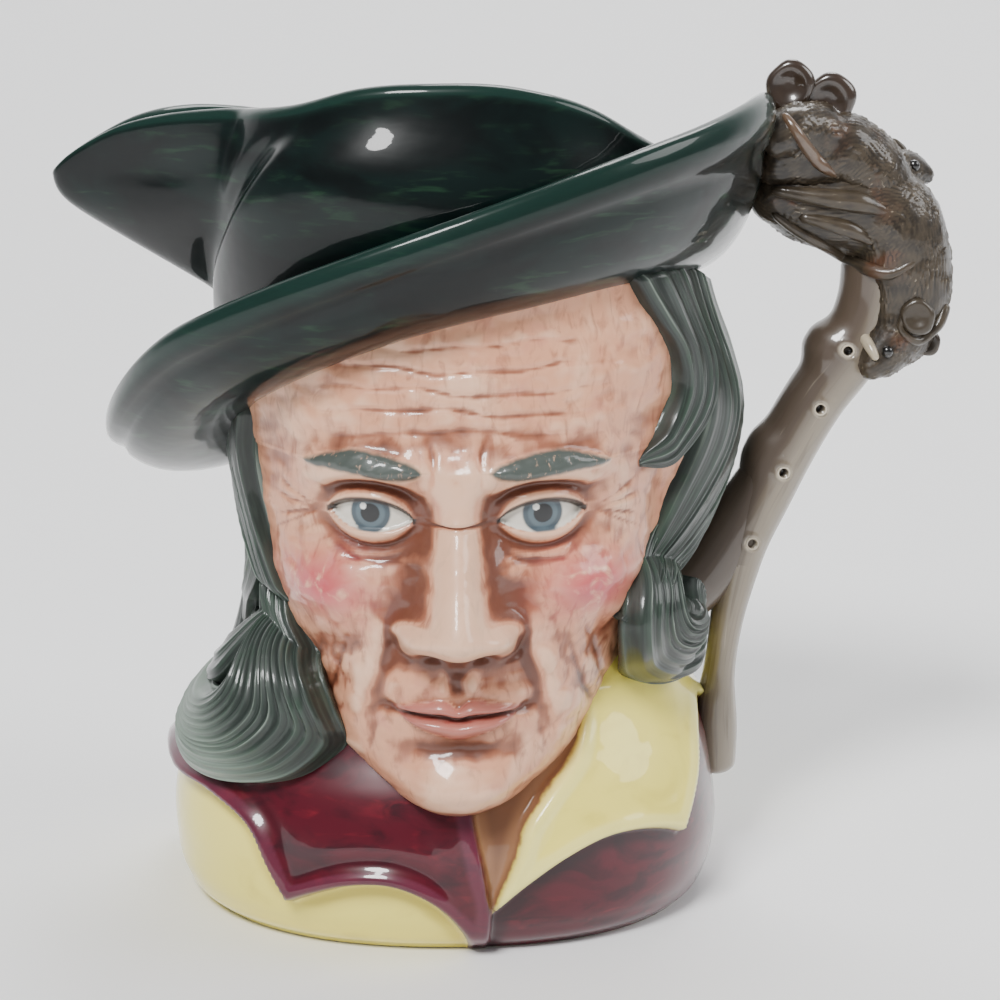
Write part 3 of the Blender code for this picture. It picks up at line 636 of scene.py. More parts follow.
@dataclass(frozen=True)
class SkinPaint:
    """Flesh colours brushed on the carved face, with darker washes in its hollows that are partly pooled
    wash and partly painted shade, and paler crests that are partly wiped wash and partly painted highlight.
    """

    flesh: str = "#d89a78"
    pale: str = "#efc3a2"
    wash: str = "#8f5138"
    deep: str = "#582e20"
    rose: str = "#bd3a4c"
    lip: str = "#98343a"
    brow: str = "#474e49"
    white: str = "#ded8cb"
    iris: str = "#55666e"
    dark: str = "#17181a"
    lash: str = "#332925"
    scalp: str = "#39423f"

    def material(self) -> bpy.types.Material:
        """The fired material."""
        brush = Brush("painted_skin")
        brush.ground(hue(self.flesh))
        brush.wash(hue(self.pale), brush.between(brush.grain(14, 4, (1, 1, 1.6), warp=0.6), 0.46, 0.66,
                                                 0.55))
        strokes = brush.grain(3.2, 5, (1, 1, 2.4), warp=1.4, turn=(0.5, 0, 0.3))
        brush.wash(hue(self.wash), brush.between(strokes, 0.48, 0.76, 0.62))
        brush.wash(hue("#c98070"), brush.between(brush.grain(6.5, 4, warp=1.0), 0.5, 0.75, 0.35))
        # Painted shade: the brown washes darken the hollows, both as pooled wash and as the shade that
        # falls there.
        hollow = brush.math("ADD", brush.value("hollow"), brush.math("MULTIPLY", strokes, 0.35))
        brush.wash(hue(self.wash), brush.between(hollow, 0.2, 0.75, 0.85))
        brush.wash(hue(self.deep), brush.between(hollow, 0.6, 1.25, 0.8))
        # Painted highlight: the crests are paler, partly as wiped wash and partly as light catching them.
        crest = brush.math("MULTIPLY", brush.value("hollow"), -1.0)
        brush.wash(hue(self.pale), brush.between(crest, 0.12, 0.7, 0.7))
        blush = brush.math("MULTIPLY", brush.value("blush"),
                           brush.between(brush.grain(4.5, 4, warp=1.2), 0.2, 0.5))
        brush.wash(hue(self.rose), brush.math("MULTIPLY", blush, 0.9))
        brush.wash(hue(self.lip), brush.edge("lips", 0.5, 0.3, 0.75))
        # Painted shade: a dark line in the groove between the lips.
        brush.wash(hue(self.deep), brush.edge("parting", 0.35, 0.15, 0.9))
        brush.wash(hue(self.white), brush.edge("eye_white", 0.15, 0.05))
        brush.wash(hue(self.iris), brush.edge("iris", 0.2, 0.05))
        brush.wash(hue("#39464f"), brush.edge("iris_ring", 0.3, 0.05, 0.8))
        brush.wash(hue(self.dark), brush.edge("pupil", 0.2, 0.05))
        brush.wash(hue("#f4f4ee"), brush.edge("glint", 0.15, 0.0))
        brush.wash(hue(self.lash), brush.edge("lash", 0.25, 0.1, 0.95))
        hairs = brush.grain(0.8, 2, (1, 1, 3), turn=(0, 0.5, 0))
        brush.wash(hue(self.brow), brush.math("MULTIPLY", brush.edge("brow", 0.5, 0.4),
                                              brush.between(hairs, 0.1, 0.4)))
        # Painted shade: the nostrils' shallow dimples are filled dark as if they were deep.
        brush.wash(hue(self.deep), brush.edge("nostril", 0.5, 0.1, 0.85))
        brush.wash(hue(self.scalp), brush.edge("scalp", 1.5, 0.5))
        brush.relief(brush.grain(1.6, 3), 0.05)
        return brush.fire(0.45, 0.6, 0.09)


@dataclass(frozen=True)
class CoatPaint:
    """The two colours of the coat and cape, changed over from side to side, and the shaded neck, with
    painted shade in the hollows and painted highlight on the raised hems.
    """

    wine: str = "#4f0a1b"
    wine_dark: str = "#260611"
    wine_painted_highlight: str = "#6d3348"
    lemon: str = "#f4e56e"
    lemon_shade: str = "#cdb945"
    neck: str = "#9a6f4e"
    foot: str = "#e9e2cf"

    def material(self) -> bpy.types.Material:
        """The fired material."""
        brush = Brush("painted_coat")
        wine = brush.edge("wine", 0.22, 0.35)
        brush.ground(hue(self.lemon))
        brush.wash(hue(self.lemon_shade),
                   brush.between(brush.grain(18, 4, (1, 1, 0.6), warp=0.8), 0.48, 0.75, 0.45))
        # Painted shade: a darker lemon in the coat's hollows.
        brush.wash(hue(self.lemon_shade), brush.between(brush.value("hollow"), 0.15, 0.9, 0.6))
        # Painted highlight: a paler lemon on the raised hems.
        brush.wash(hue("#f7f1a6"), brush.between(brush.math("MULTIPLY", brush.value("hollow"), -1.0), 0.15,
                                                 0.7, 0.4))
        lemon = brush.colour
        brush.ground(hue(self.wine))
        brush.wash(hue(self.wine_dark),
                   brush.between(brush.grain(11, 4, (1, 1, 0.5), warp=1.0), 0.42, 0.68, 0.75))
        brush.wash(hue("#7a1626"), brush.between(brush.grain(5, 4, (2, 2, 0.7), warp=0.9), 0.55, 0.8, 0.6))
        # Painted shade: a darker wine in the coat's hollows.
        brush.wash(hue(self.wine_dark), brush.between(brush.value("hollow"), 0.1, 0.8, 0.7))
        # Painted highlight: a pale mauve on the wine's raised hems.
        brush.wash(hue(self.wine_painted_highlight),
                   brush.between(brush.math("MULTIPLY", brush.value("hollow"), -1.0), 0.2, 0.9, 0.45))
        mix = brush.tree.nodes.new("ShaderNodeMix")
        mix.data_type = "RGBA"
        brush.join(wine, mix.inputs[0])
        brush.join(lemon, mix.inputs[6])
        brush.join(brush.colour, mix.inputs[7])
        brush.colour = mix.outputs[2]
        # Painted shade under the chin: the neck is a darkened flesh, darker still further inside its
        # outline.
        brush.wash(hue(self.neck), brush.edge("neck", 0.8, 0.3, 0.9))
        brush.wash(hue("#5d3a2c"), brush.between(brush.value("neck"), 1.0, 4.0, 0.6))
        brush.wash(hue(self.foot), brush.edge("foot", 0.3, 0.1))
        brush.relief(brush.grain(9, 2), 0.05)
        return brush.fire(0.3, 0.9, 0.03, (1.42, 0.25))


@dataclass(frozen=True)
class HatPaint:
    """Bottle green laid on in broad strokes under a thick, bright glaze, with a painted highlight along the
    rim and the brim's lip.
    """

    deep: str = "#050b0b"
    green: str = "#0a1a18"
    light: str = "#22402b"
    edge: str = "#17312a"

    def material(self) -> bpy.types.Material:
        """The fired material."""
        brush = Brush("bottle_green_hat")
        brush.ground(hue(self.deep))
        broad = brush.grain(16, 4, (1.6, 1.6, 0.7), warp=0.7, turn=(0, -0.35, 0))
        brush.wash(hue(self.green), brush.between(broad, 0.4, 0.62, 0.8))
        strokes = brush.grain(2.2, 4, (5, 5, 0.8), warp=0.4, turn=(0, -0.35, 0))
        lit = brush.math("MULTIPLY", brush.between(strokes, 0.52, 0.72), brush.between(broad, 0.44, 0.64))
        brush.wash(hue(self.light), brush.math("MULTIPLY", lit, 0.6))
        # Painted highlight: a lighter green along the rim and the brim's rolled lip.
        brush.wash(hue(self.edge), brush.between(brush.value("edge"), 0.25, 1.0, 0.75))
        brush.relief(brush.grain(12, 2), 0.16)
        brush.relief(brush.grain(3.5, 2, (3, 3, 1), turn=(0, -0.35, 0)), 0.03)
        return brush.fire(0.3, 0.85, 0.03, (1.33, 0.12))


@dataclass(frozen=True)
class HairPaint:
    """Grey-green hair, its grooves filled with a dark wash that is also painted shade, and its crests wiped
    pale as a painted highlight too.
    """

    middle: str = "#39433d"
    groove: str = "#161c19"
    crest: str = "#97a498"
    moss: str = "#2f4636"

    def material(self) -> bpy.types.Material:
        """The fired material."""
        brush = Brush("grey_green_hair")
        flow = brush.flow("flow")
        brush.ground(hue(self.middle))
        streaks = brush.grain(0.9, 4, (1, 14, 1), vector=flow, warp=0.3)
        brush.wash(hue(self.moss), brush.between(brush.grain(8, 3, warp=0.8), 0.45, 0.7, 0.55))
        brush.wash(hue("#7f8f82"), brush.between(brush.value("light"), 0.2, 0.9, 0.85))
        fading = brush.between(brush.value("light"), 1.6, -0.2)
        # Painted shade: the dark wash in the grooves also stands for the shade in them.
        groove = brush.math("SUBTRACT", brush.math("MULTIPLY", streaks, 0.7), brush.value("crest"))
        groove = brush.math("MULTIPLY", brush.between(groove, -0.05, 0.42, 0.9), fading)
        brush.wash(hue(self.groove), groove)
        # Painted highlight: the pale crests also stand for light catching them.
        crest = brush.math("ADD", brush.value("crest"), brush.math("MULTIPLY", streaks, 0.45))
        brush.wash(hue(self.crest), brush.math("MULTIPLY", brush.between(crest, 0.6, 1.15, 0.8), fading))
        brush.relief(streaks, 0.07)
        return brush.fire(0.45, 0.6, 0.08, (1.42, 0.3))


@dataclass(frozen=True)
class PipePaint:
    """The taupe pipe, browner inside its bend, where the brown is also painted shadow, with pale rings
    round its finger holes.
    """

    taupe: str = "#877c6b"
    brown: str = "#43352c"
    pale: str = "#c4b9a6"
    dark: str = "#1b1411"

    def material(self) -> bpy.types.Material:
        """The fired material."""
        brush = Brush("taupe_pipe")
        brush.ground(hue(self.taupe))
        strokes = brush.grain(2.0, 4, (1, 12, 1), vector=brush.flow("flow"), warp=0.4)
        brush.wash(hue(self.brown), brush.between(strokes, 0.5, 0.75, 0.45))
        # Painted shadow: the inner side of the bend is browner, both as paint and as the shadow that falls
        # on it.
        brush.wash(hue(self.brown), brush.between(brush.value("inner"), 0.25, 0.8, 0.85))
        brush.wash(hue(self.pale), brush.between(strokes, 0.36, 0.22, 0.4))
        brush.wash(hue(self.pale), brush.edge("hole_ring", 0.5, 0.3, 0.85))
        # Painted shade: the shallow holes are filled dark as if they went deep.
        brush.wash(hue(self.dark), brush.edge("hole", 0.35, 0.1))
        brush.relief(strokes, 0.06)
        return brush.fire(0.38, 0.85, 0.05)


@dataclass(frozen=True)
class FurPaint:
    """Brown fur, combed in the clay, dark in its partings as painted shade, pale on its crests as painted
    highlight, and reddish on the haunches.
    """

    brown: str = "#433a2e"
    dark: str = "#1b1611"
    red: str = "#62351f"
    light: str = "#a0937f"

    def material(self, name: str = "brown_fur") -> bpy.types.Material:
        """The fired material."""
        brush = Brush(name)
        brush.ground(hue(self.brown))
        brush.wash(hue(self.red), brush.between(brush.grain(11, 3, warp=0.6), 0.56, 0.74, 0.45))
        # Painted shade: the partings between the combed ridges are darkened.
        brush.wash(hue(self.dark), brush.between(brush.value("crest"), 0.55, 0.12, 0.85))
        # Painted highlight: the ridges' crests are lightened.
        brush.wash(hue(self.light), brush.between(brush.value("crest"), 0.72, 1.05, 0.6))
        brush.wash(hue(self.dark), brush.between(brush.grain(7, 4, warp=0.8), 0.52, 0.72, 0.5))
        brush.relief(brush.grain(0.9, 3), 0.05)
        return brush.fire(0.4, 0.7, 0.08, (1.42, 0.3))


@dataclass(frozen=True)
class PlainPaint:
    """One glazed colour with a slight cloudiness."""

    name: str
    colour: str
    cloud: str
    gloss: float = 0.03

    def material(self) -> bpy.types.Material:
        """The fired material."""
        brush = Brush(self.name)
        brush.ground(hue(self.colour))
        brush.wash(hue(self.cloud), brush.between(brush.grain(6, 4, warp=0.6), 0.45, 0.75, 0.6))
        brush.relief(brush.grain(6, 2), 0.04)
        return brush.fire(0.3, 1.0, self.gloss)


@dataclass
class Piece:
    """What takes a finished mesh and hands it to the frame."""

    made: bpy.types.Object
    material: bpy.types.Material

    def hand_over(self) -> bpy.types.Object:
        """Dresses the piece, lets it ride on the jug and stand for the solid."""
        self.made.data.materials.clear()
        self.made.data.materials.append(self.material)
        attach(self.made, BODY)
        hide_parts(NODE)
        count = sum(len(p.vertices) - 2 for p in self.made.data.polygons)
        LOG.info("%s: %d triangles", self.made.name, count)
        return self.made


@dataclass
class Head:
    """The face and the plain back of the head under the hair."""

    form: JugForm
    low: float = 28.5
    high: float = 139.0
    rows: int = 200
    front_columns: int = 250
    back_columns: int = 40
    front_reach: float = math.radians(76)
    eye: tuple[float, float] = (17.2, 95.0)
    eye_half: float = 8.7
    ball: float = 14.5
    ball_front: float = -0.6
    deepest: float = -3.5
    brow_height: float = 105.5
    mouth: float = 55.4
    iris_size: float = 3.9

    def lids(self, a: np.ndarray) -> tuple[np.ndarray, np.ndarray]:
        """Heights of the upper and lower lid's edge at a distance from the face's middle."""
        u = np.clip((a - self.eye[0]) / self.eye_half, -1, 1)
        middle = self.eye[1] - 0.3 + 0.7 * u
        upper = middle + 3.5 * (1 - u * u) ** 0.8 * (1 - 0.10 * u)
        lower = middle - 3.0 * (1 - u * u) ** 0.85 * (1 + 0.12 * u)
        return upper, lower

    def mouth_lines(self, a: np.ndarray) -> tuple[np.ndarray, np.ndarray, np.ndarray]:
        """Heights of the lips' parting, of the upper lip's top and of the lower lip's bottom."""
        parting = self.mouth + 0.0042 * a * a - 0.5 * bell(a, 0, 2.2)
        full = np.clip(1 - (a / 13.2) ** 2, 0, 1)
        top = parting + 3.1 * full**0.75 + 0.6 * bell(a, 3.0, 1.8) - 0.8 * bell(a, 0, 1.3)
        bottom = parting - 4.2 * np.clip(1 - (a / 11.8) ** 2, 0, 1) ** 0.8
        return parting, top, bottom

    def nose(self, x: np.ndarray, z: np.ndarray) -> np.ndarray:
        """Height of the nose over the face."""
        a = np.abs(x)
        profile = np.array([
            [63.5, 0.0], [65.5, 0.8], [67.0, 3.0], [68.2, 7.0], [69.6, 11.4], [71.4, 14.2], [73.4, 15.2],
            [76.0, 14.6],
            [80.0, 12.6], [86.0, 9.6], [92.0, 6.8], [97.0, 4.8], [101.0, 3.8], [106.0, 2.0], [112.0, 0.0],
        ])
        half = np.array([[63.0, 6.0], [70.0, 6.2], [73.0, 7.2], [77.0, 6.2], [84.0, 5.0], [92.0, 4.8],
                         [100.0, 6.5],
                         [112.0, 10.0]])
        width = curve_through(half, z)[..., 0]
        ridge = curve_through(profile, z)[..., 0] * np.exp(-((a / width) ** 2.1))
        sides = 3.0 * bell(a, 0, 10.0) * step(z, 67, 75) * (1 - step(z, 84, 98))
        wings = 6.0 * mound(a, z, (8.0, 71.8), (3.5, 3.8), 2.2)
        crease = -1.0 * bell(np.hypot((a - 8.0) / 5.4, (z - 71.8) / 5.4), 1.0, 0.18) * step(a, 7.5, 10.5)
        nostril = -3.0 * mound(a, z, (4.5, 68.0), (2.3, 1.4), 2.4)
        return ridge + sides + wings + crease + nostril

    def eyes(self, a: np.ndarray, z: np.ndarray, skin: np.ndarray) -> np.ndarray:
        """Sets the eyeballs and lids into the skin and returns the carved height."""
        upper, lower = self.lids(a)
        dx, dz = a - self.eye[0], z - self.eye[1]
        ball = self.ball_front - self.ball + np.sqrt(np.clip(self.ball**2 - dx * dx - dz * dz, 1.0, None))
        opening = np.minimum(upper - z, z - lower)
        lid = larger(ball, np.full_like(ball, self.deepest + 0.3), 0.5) + 1.5 + 0.4 * bell(opening, -0.6,
            0.5)
        near = 1 - step(np.hypot(dx / 12.0, (dz - 0.6) / 7.4), 0.68, 1.06)
        carved = skin + (lid - skin) * near
        above = z - upper - 3.0 - 0.016 * dx * dx
        carved = carved - 1.2 * bell(above, 0, 0.75) * bell(dx, 0, 10.0, 4) + 0.9 * bell(above, 2.2,
            1.6) * bell(dx, 1, 10, 4)
        for drop, depth in ((3.4, 0.7), (6.2, 0.45)):
            below = lower - z - drop + 0.012 * dx * dx
            carved = carved - depth * bell(below, 0, 0.6) * bell(dx, -1.0, 8.0, 4)
            carved = carved + 0.6 * depth * bell(below, -1.5, 1.1) * bell(dx, -0.5, 7.5, 4)
        return carved + (ball - carved) * step(opening, -0.15, 0.4)

    def fold(self, gap: np.ndarray, depth: float, width: float) -> np.ndarray:
        """A crease with a soft swelling on both sides, at a distance gap from its line."""
        return depth * (0.45 * np.exp(-((gap / (3.2 * width)) ** 2)) - 1.45
                        * np.exp(-np.abs(gap / width) ** 1.3))

    def age(self, x: np.ndarray, z: np.ndarray) -> np.ndarray:
        """Lines of an even, elderly face and the unevenness of modelled clay."""
        a = np.abs(x)
        total = np.zeros_like(z)
        for n, (height, depth) in enumerate(
            ((111.5, 0.30), (115.6, 0.5), (119.8, 0.42), (124.2, 0.5), (128.6, 0.35))):
            line = height + 0.9 * np.cos(x / 8.5 + n) * bell(x, 0, 30) + 0.35 * np.sin(x / 2.7 + 2.1 * n)
            total = total + self.fold(z - line, depth, 0.55) * bell(a, 0, 24 + n, 4)
        for slope, depth, start in ((-0.55, 0.3, 27.5), (-0.22, 0.5, 27), (0.08, 0.45, 27.5),
                                    (0.4, 0.35, 27)):
            along = a - start
            gap = z - self.eye[1] - slope * along - 0.01 * along**2 * np.sign(slope)
            total = total + self.fold(gap, depth, 0.5) * step(along, 0, 2) * (1 - step(along, 7, 11))
        total = total + self.fold(a - 4.3 - 0.04 * (z - 105) ** 2, 0.55, 0.6) * bell(z, 105.5, 4.6, 4)
        total = total + self.fold(a - 22.5 - 0.34 * (68 - z), 0.5, 0.8) * step(z, 44, 56) * (
            1 - step(z, 62, 74))
        total = total + self.fold(a - 28.5 - 0.22 * (66 - z), 0.3, 0.8) * step(z, 48, 57) * (
            1 - step(z, 60, 72))
        total = total + self.fold(a - 15.8 - 0.22 * (54 - z), 0.4, 0.8) * step(z, 40, 48) * (
            1 - step(z, 49, 56))
        total = total + self.fold(z - 86.2 + 0.022 * (a - 16) ** 2, 0.4, 0.6) * bell(a, 17, 8, 4)
        rough = np.array([noise.noise(Vector((u / 6.5, v / 5.0, 0.3)))
                          for u, v in zip(x.ravel(), z.ravel())])
        small = np.array([noise.noise(Vector((u / 2.4, v / 2.0, 4.1)))
                          for u, v in zip(x.ravel(), z.ravel())])
        fine = np.array([noise.noise(Vector((u / 3.6, v / 9.0, 9.7)))
                         for u, v in zip(x.ravel(), z.ravel())])
        rough, small, fine = rough.reshape(x.shape), small.reshape(x.shape), fine.reshape(x.shape)
        cheek = step(a, 12, 22) * (1 - step(z, 84, 92))
        crinkle = -0.3 * np.exp(-np.abs(fine) / 0.07) * cheek - 0.12 * np.exp(-np.abs(rough) / 0.05)
        return total + 0.6 * rough + 0.2 * small + crinkle

    def carving(self, x: np.ndarray, z: np.ndarray) -> np.ndarray:
        """Height of a calm, even, grown man's face over its plain oval."""
        a = np.abs(x)
        brow = 3.4 * bell(z, self.brow_height - 1.5 - 0.004 * (a - 14) ** 2, 4.8) * bell(a, 15, 12.5, 2.6)
        forehead = 0.9 * step(z, 106, 114) * bell(a, 0, 34, 4)
        socket = -3.4 * mound(a, z, (17.0, 95.0), (11.5, 7.6), 2.6)
        inner = -1.4 * mound(a, z, (8.5, 95.5), (3.2, 5.0))
        cheek = 3.8 * mound(a, z, (25.0, 79.5), (10.0, 8.0))
        under_cheek = -1.7 * mound(a, z, (29, 62), (8, 10))
        temple = -1.8 * mound(a, z, (38, 104), (6, 11))
        fold_place = a - 10.5 - 0.5 * (73 - z) + 0.008 * (73 - z) ** 2
        fold_reach = step(z, 46, 60) * (1 - step(z, 70, 78))
        fold = (-1.1 * bell(fold_place, 0, 1.7) + 1.4 * bell(fold_place, 3.6, 3.2)) * fold_reach
        muzzle = 2.8 * mound(a, z, (0, 58.5), (14.5, 10.5), 2.4)
        reach = step(z, 59.0, 61.0) * (1 - step(z, 64.5, 67))
        groove = (0.5 * bell(a, 2.8, 1.1) - 0.8 * bell(a, 0, 1.4)) * reach
        chin = 3.6 * mound(a, z, (0, 39.5), (10.5, 6.8), 2.2)
        under_lip = -1.9 * mound(a, z, (0, 48.0), (9.0, 2.3))
        jaw = 1.4 * mound(a, z, (21, 44), (6, 8))
        skin = (brow + forehead + socket + inner + cheek + under_cheek + temple + fold + muzzle + groove
                + chin
                + under_lip + jaw)
        away = np.hypot((a - self.eye[0]) / 10.5, (z - self.eye[1]) / 5.6)
        mouth_away = np.hypot(a / 14, (z - self.mouth) / 6)
        nose_away = np.hypot(a / 12, (z - 73) / 9)
        calm = step(away, 0.9, 1.3) * step(mouth_away, 0.8, 1.2) * step(nose_away, 0.7, 1.2)
        skin = self.eyes(a, z, skin) + self.nose(x, z) + self.age(x, z) * calm
        parting, top, bottom = self.mouth_lines(a)
        up = np.clip((z - parting) / np.maximum(top - parting, 0.05), 0, 1)
        down = np.clip((parting - z) / np.maximum(parting - bottom, 0.05), 0, 1)
        upper_lip = 1.9 * np.sin(math.pi * up**0.8) ** 0.8 * (z > parting) * (z < top) * bell(a, 0, 12.5, 6)
        lower_lip = 2.5 * np.sin(math.pi * down**0.85) ** 0.8 * (z < parting) * (z > bottom) * bell(a, 0,
            11, 6)
        line = -1.5 * bell(z - parting, 0, 0.75) * bell(a, 0, 13.6, 8)
        corner = -1.1 * mound(a, z, (13.8, self.mouth + 1.0), (1.8, 1.6))
        brows = 1.3 * step(self.brow_distance(a, z), -0.9, 1.4)
        combed = 0.1 * np.sin(2.2 * (a + 1.1 * (z - self.brow_height))) * step(self.brow_distance(a, z),
            -0.2, 0.8)
        return larger(skin + upper_lip + lower_lip + line + corner + brows + combed,
                      np.full_like(z, self.deepest), 0.12)

    def brow_distance(self, a: np.ndarray, z: np.ndarray) -> np.ndarray:
        """Signed distance inside an eyebrow, positive inside."""
        middle = self.brow_height + 1.6 * bell(a, 19.5, 7.5) - 0.9 + 0.02 * (a - 16)
        share = np.clip((a - 6.2) / 24.0, 0, 1)
        thick = 2.9 * np.clip(share * (1 - share) * 4, 0, 1) ** 0.55 * (1.15 - 0.55 * share)
        return thick - np.abs(z - middle) - 0.25

    def build(self) -> bpy.types.Object:
        """Makes the head with the distances that its paint follows."""
        turn = self.front_reach
        front = np.linspace(-turn, turn, self.front_columns, endpoint=False)
        back = np.linspace(turn, 2 * math.pi - turn, self.back_columns, endpoint=False)
        angle, z = np.meshgrid(np.concatenate([front, back]), np.linspace(self.low, self.high, self.rows))
        bust = self.form.bust_radius(angle, z) - 3.0 * (1 - step(z, 50, 64)) - 1.0
        face = self.form.face_radius(angle, z)
        radius = larger(bust, face, 0.8)
        x = radius * np.sin(angle) - self.form.face_centre[0]
        ahead = step(np.cos(angle), 0.30, 0.62) * step(z, 29.5, 36) * (1 - 0.9 * step(z, 130, 138))
        carved = self.carving(x, z) * ahead
        outside = place(radius + carved, angle, z)
        inner = place(radius[::24] - 4.1, angle[::24], z[::24])[::-1]
        rings = np.concatenate([outside, place(radius[-1:] - 4.1, angle[-1:], z[-1:]), inner])
        a = np.abs(x)
        upper, lower = self.lids(a)
        opening = np.minimum(np.minimum(upper - z, z - lower), self.eye_half - np.abs(a - self.eye[0]))
        gaze = x - np.sign(x) * self.eye[0]
        away = np.hypot(gaze, z - self.eye[1] - 0.3)
        parting, top, bottom = self.mouth_lines(a)
        # How far each point lies below its neighbours; the paint lays painted shade in the hollows and
        # painted highlight on the crests from it.
        deep = np.clip((blurred(carved, 4) - carved) * 1.3, -1, 1)
        deep = deep + np.clip((blurred(carved, 14) - carved) * 0.2, -0.4, 0.5)
        values = {
            "hollow": deep,
            "blush": mound(a, z, (26, 80), (9.0, 6.5), 2.4) * ahead,
            "lips": np.minimum(np.minimum(top - z, z - bottom), 13.0 - a),
            "parting": np.minimum(0.5 - np.abs(z - parting), 13.2 - a),
            "eye_white": opening,
            "iris": np.minimum(self.iris_size - away, opening),
            "iris_ring": np.minimum(0.55 - np.abs(self.iris_size - 0.4 - away), opening),
            "pupil": np.minimum(1.95 - away, opening),
            "glint": 0.7 - np.hypot(gaze + 1.4, z - self.eye[1] - 1.6),
            "lash": np.minimum(0.7 - np.abs(upper - z - 0.1),
                               self.eye_half + 0.5 - np.abs(a - self.eye[0])),
            "brow": self.brow_distance(a, z),
            "nostril": 0.9 - np.hypot((a - 4.5) / 1.8, (z - 68.2) / 1.0),
            "scalp": (np.abs(angle - 2 * math.pi * (angle > math.pi)) - math.radians(66)) * 50,
        }
        extra = len(rings) - len(outside)
        values = {key: np.concatenate([d, np.repeat(d[-1:] * 0 - 5, extra, axis=0)])
                  for key, d in values.items()}
        made = MeshMaker.rings("face_and_head", self.form.outside_hollow(rings), values, closed=True)
        return Piece(made, SkinPaint().material()).hand_over()


@dataclass
class Coat:
    """The bust: the coat, the cape's two pointed flaps and the foot."""

    form: JugForm
    radius: float = 57.0
    thickness: float = 2.8
    top: float = 66.0
    columns: int = 480
    left_flap: tuple = (
        ((9.5, -2), (4.5, -2)),
        ((4.5, -2), (4.3, 3.2), (0.7, 9.2), (-4.4, 13.7), (-11.9, 16.8), (-20.3, 16.6), (-29.3, 13.6),
         (-34.8, 11.0)),
        ((-34.8, 11.0), (-38.7, 18.4), (-43.2, 25.5), (-54, 30.0), (-68, 30.5), (-88, 31), (-103, 26),
         (-112, 19), (-120, 11)),
        ((-120, 11), (-131, 18.5), (-146, 21), (-160, 18.5), (-172, 11)),
        ((-172, 11), (-176, 16), (-184, 20)),
        ((-184, 20), (-184, 75)), ((-184, 75), (5, 75)), ((5, 75), (6, 30), (8, 20), (9.5, 10.5)),
        ((9.5, 10.5), (9.5, -2)),
    )
    right_flap: tuple = (
        ((9.5, 10.5), (17, 16.8), (25.6, 22.0), (34.8, 25.0), (43, 25.0), (50, 23.5), (55, 21.5)),
        ((55, 21.5), (62, 30), (70, 39), (80, 43), (90, 40), (100, 31), (109, 21), (117, 11)),
        ((117, 11), (129, 18.5), (144, 21), (158, 18.5), (170, 11)),
        ((170, 11), (173, 16), (176, 19)),
        ((176, 19), (176, 75)), ((176, 75), (46, 75)),
        ((46, 75), (31.7, 43), (20.8, 33.7), (17.1, 29.4), (14.5, 22.6),
                                                        (11.5, 16.2), (9.5, 10.5)),
    )
    neck: tuple = (
        ((6, 75), (6, 30), (8, 20), (9.5, 10.5)),
        ((9.5, 10.5), (11.5, 16.2), (14.5, 22.6), (17.1, 29.4), (20.8, 33.7), (31.7, 43), (40, 75)),
        ((40, 75), (6, 75)))

    @staticmethod
    def outline(arcs: Sequence[Rows]) -> list[tuple[float, float]]:
        """Corners of a closed outline whose arcs are rounded and meet in points."""
        corners: list[tuple[float, float]] = []
        for arc in arcs:
            count = 10 * len(arc) if len(arc) > 2 else 2
            line = line_through([(a, z, 0) for a, z in arc], count, (0.995, 1, 0))
            corners += [(float(a), float(z)) for a, z, _ in line[:-1]]
        return corners

    def relief(self, distance: np.ndarray, roll: float | np.ndarray) -> np.ndarray:
        """Height of a flap at a distance inside its edge, with a soft rolled hem of a strength."""
        inside = np.maximum(distance, 0)
        hem = roll * (1.3 * bell(distance, 1.9, 1.7) - 0.35 * bell(distance, 5.2, 1.8))
        flare = 1.2 * np.exp(-inside / 9)
        return (self.thickness - 0.9 + flare) * step(distance, -0.9, 1.1) + hem * step(distance, -0.6, 1.2)

    def build(self) -> bpy.types.Object:
        """Makes the bust as one closed shell."""
        turns = np.linspace(-math.pi, math.pi, self.columns, endpoint=False)
        heights = np.concatenate([np.linspace(0.9, 60, 118), np.linspace(61.5, self.top, 4)])
        angle, z = np.meshgrid(turns, heights)
        left = outline_distance(angle, z, self.outline(self.left_flap), self.radius)
        right = outline_distance(angle, z, self.outline(self.right_flap), self.radius)
        neck = outline_distance(angle, z, self.outline(self.neck), self.radius)
        throat = step(np.degrees(angle), -6, 4) * (1 - step(np.degrees(angle), 14, 20))
        carved = larger(self.relief(left, 1 - 0.8 * throat), self.relief(right, 0.25), 0.1)
        carved = carved * (1 - step(z, 38, 56)) * (0.2 + 0.8 * step(z, 0, 6))
        radius = self.form.bust_radius(angle, z) + carved - 2.5 * step(z, 52, 60)
        outside = place(radius, angle, z)
        floor = []
        for inset, height in ((12, 0.0), (1.9, 0.0), (0.9, 0.08), (0.3, 0.35)):
            floor.append(place(radius[0] - inset, turns, np.full(self.columns, height)))
        inside = [place(radius[i] - 3.2 - carved[i], turns, z[i]) for i in range(len(heights) - 1, 6, -13)]
        inside.append(place(radius[0] - 3.4, turns, np.full(self.columns, 2.0)))
        rings = np.concatenate([np.stack(floor), outside, np.stack(inside)])
        front_seam = (np.degrees(angle) - 5.5) * 1.0
        back_seam = 179 - np.abs(np.degrees(angle))
        body = np.where(np.abs(angle) < math.pi / 2, front_seam, np.sign(angle) * back_seam)
        wine = np.where(left > 0, left, np.where(right > 0, -right, np.where(body > 0, 1, -1) * np.minimum(
            np.abs(body), np.minimum(np.abs(left) + 10 * (body > 0), np.abs(right) + 10 * (body < 0)))))
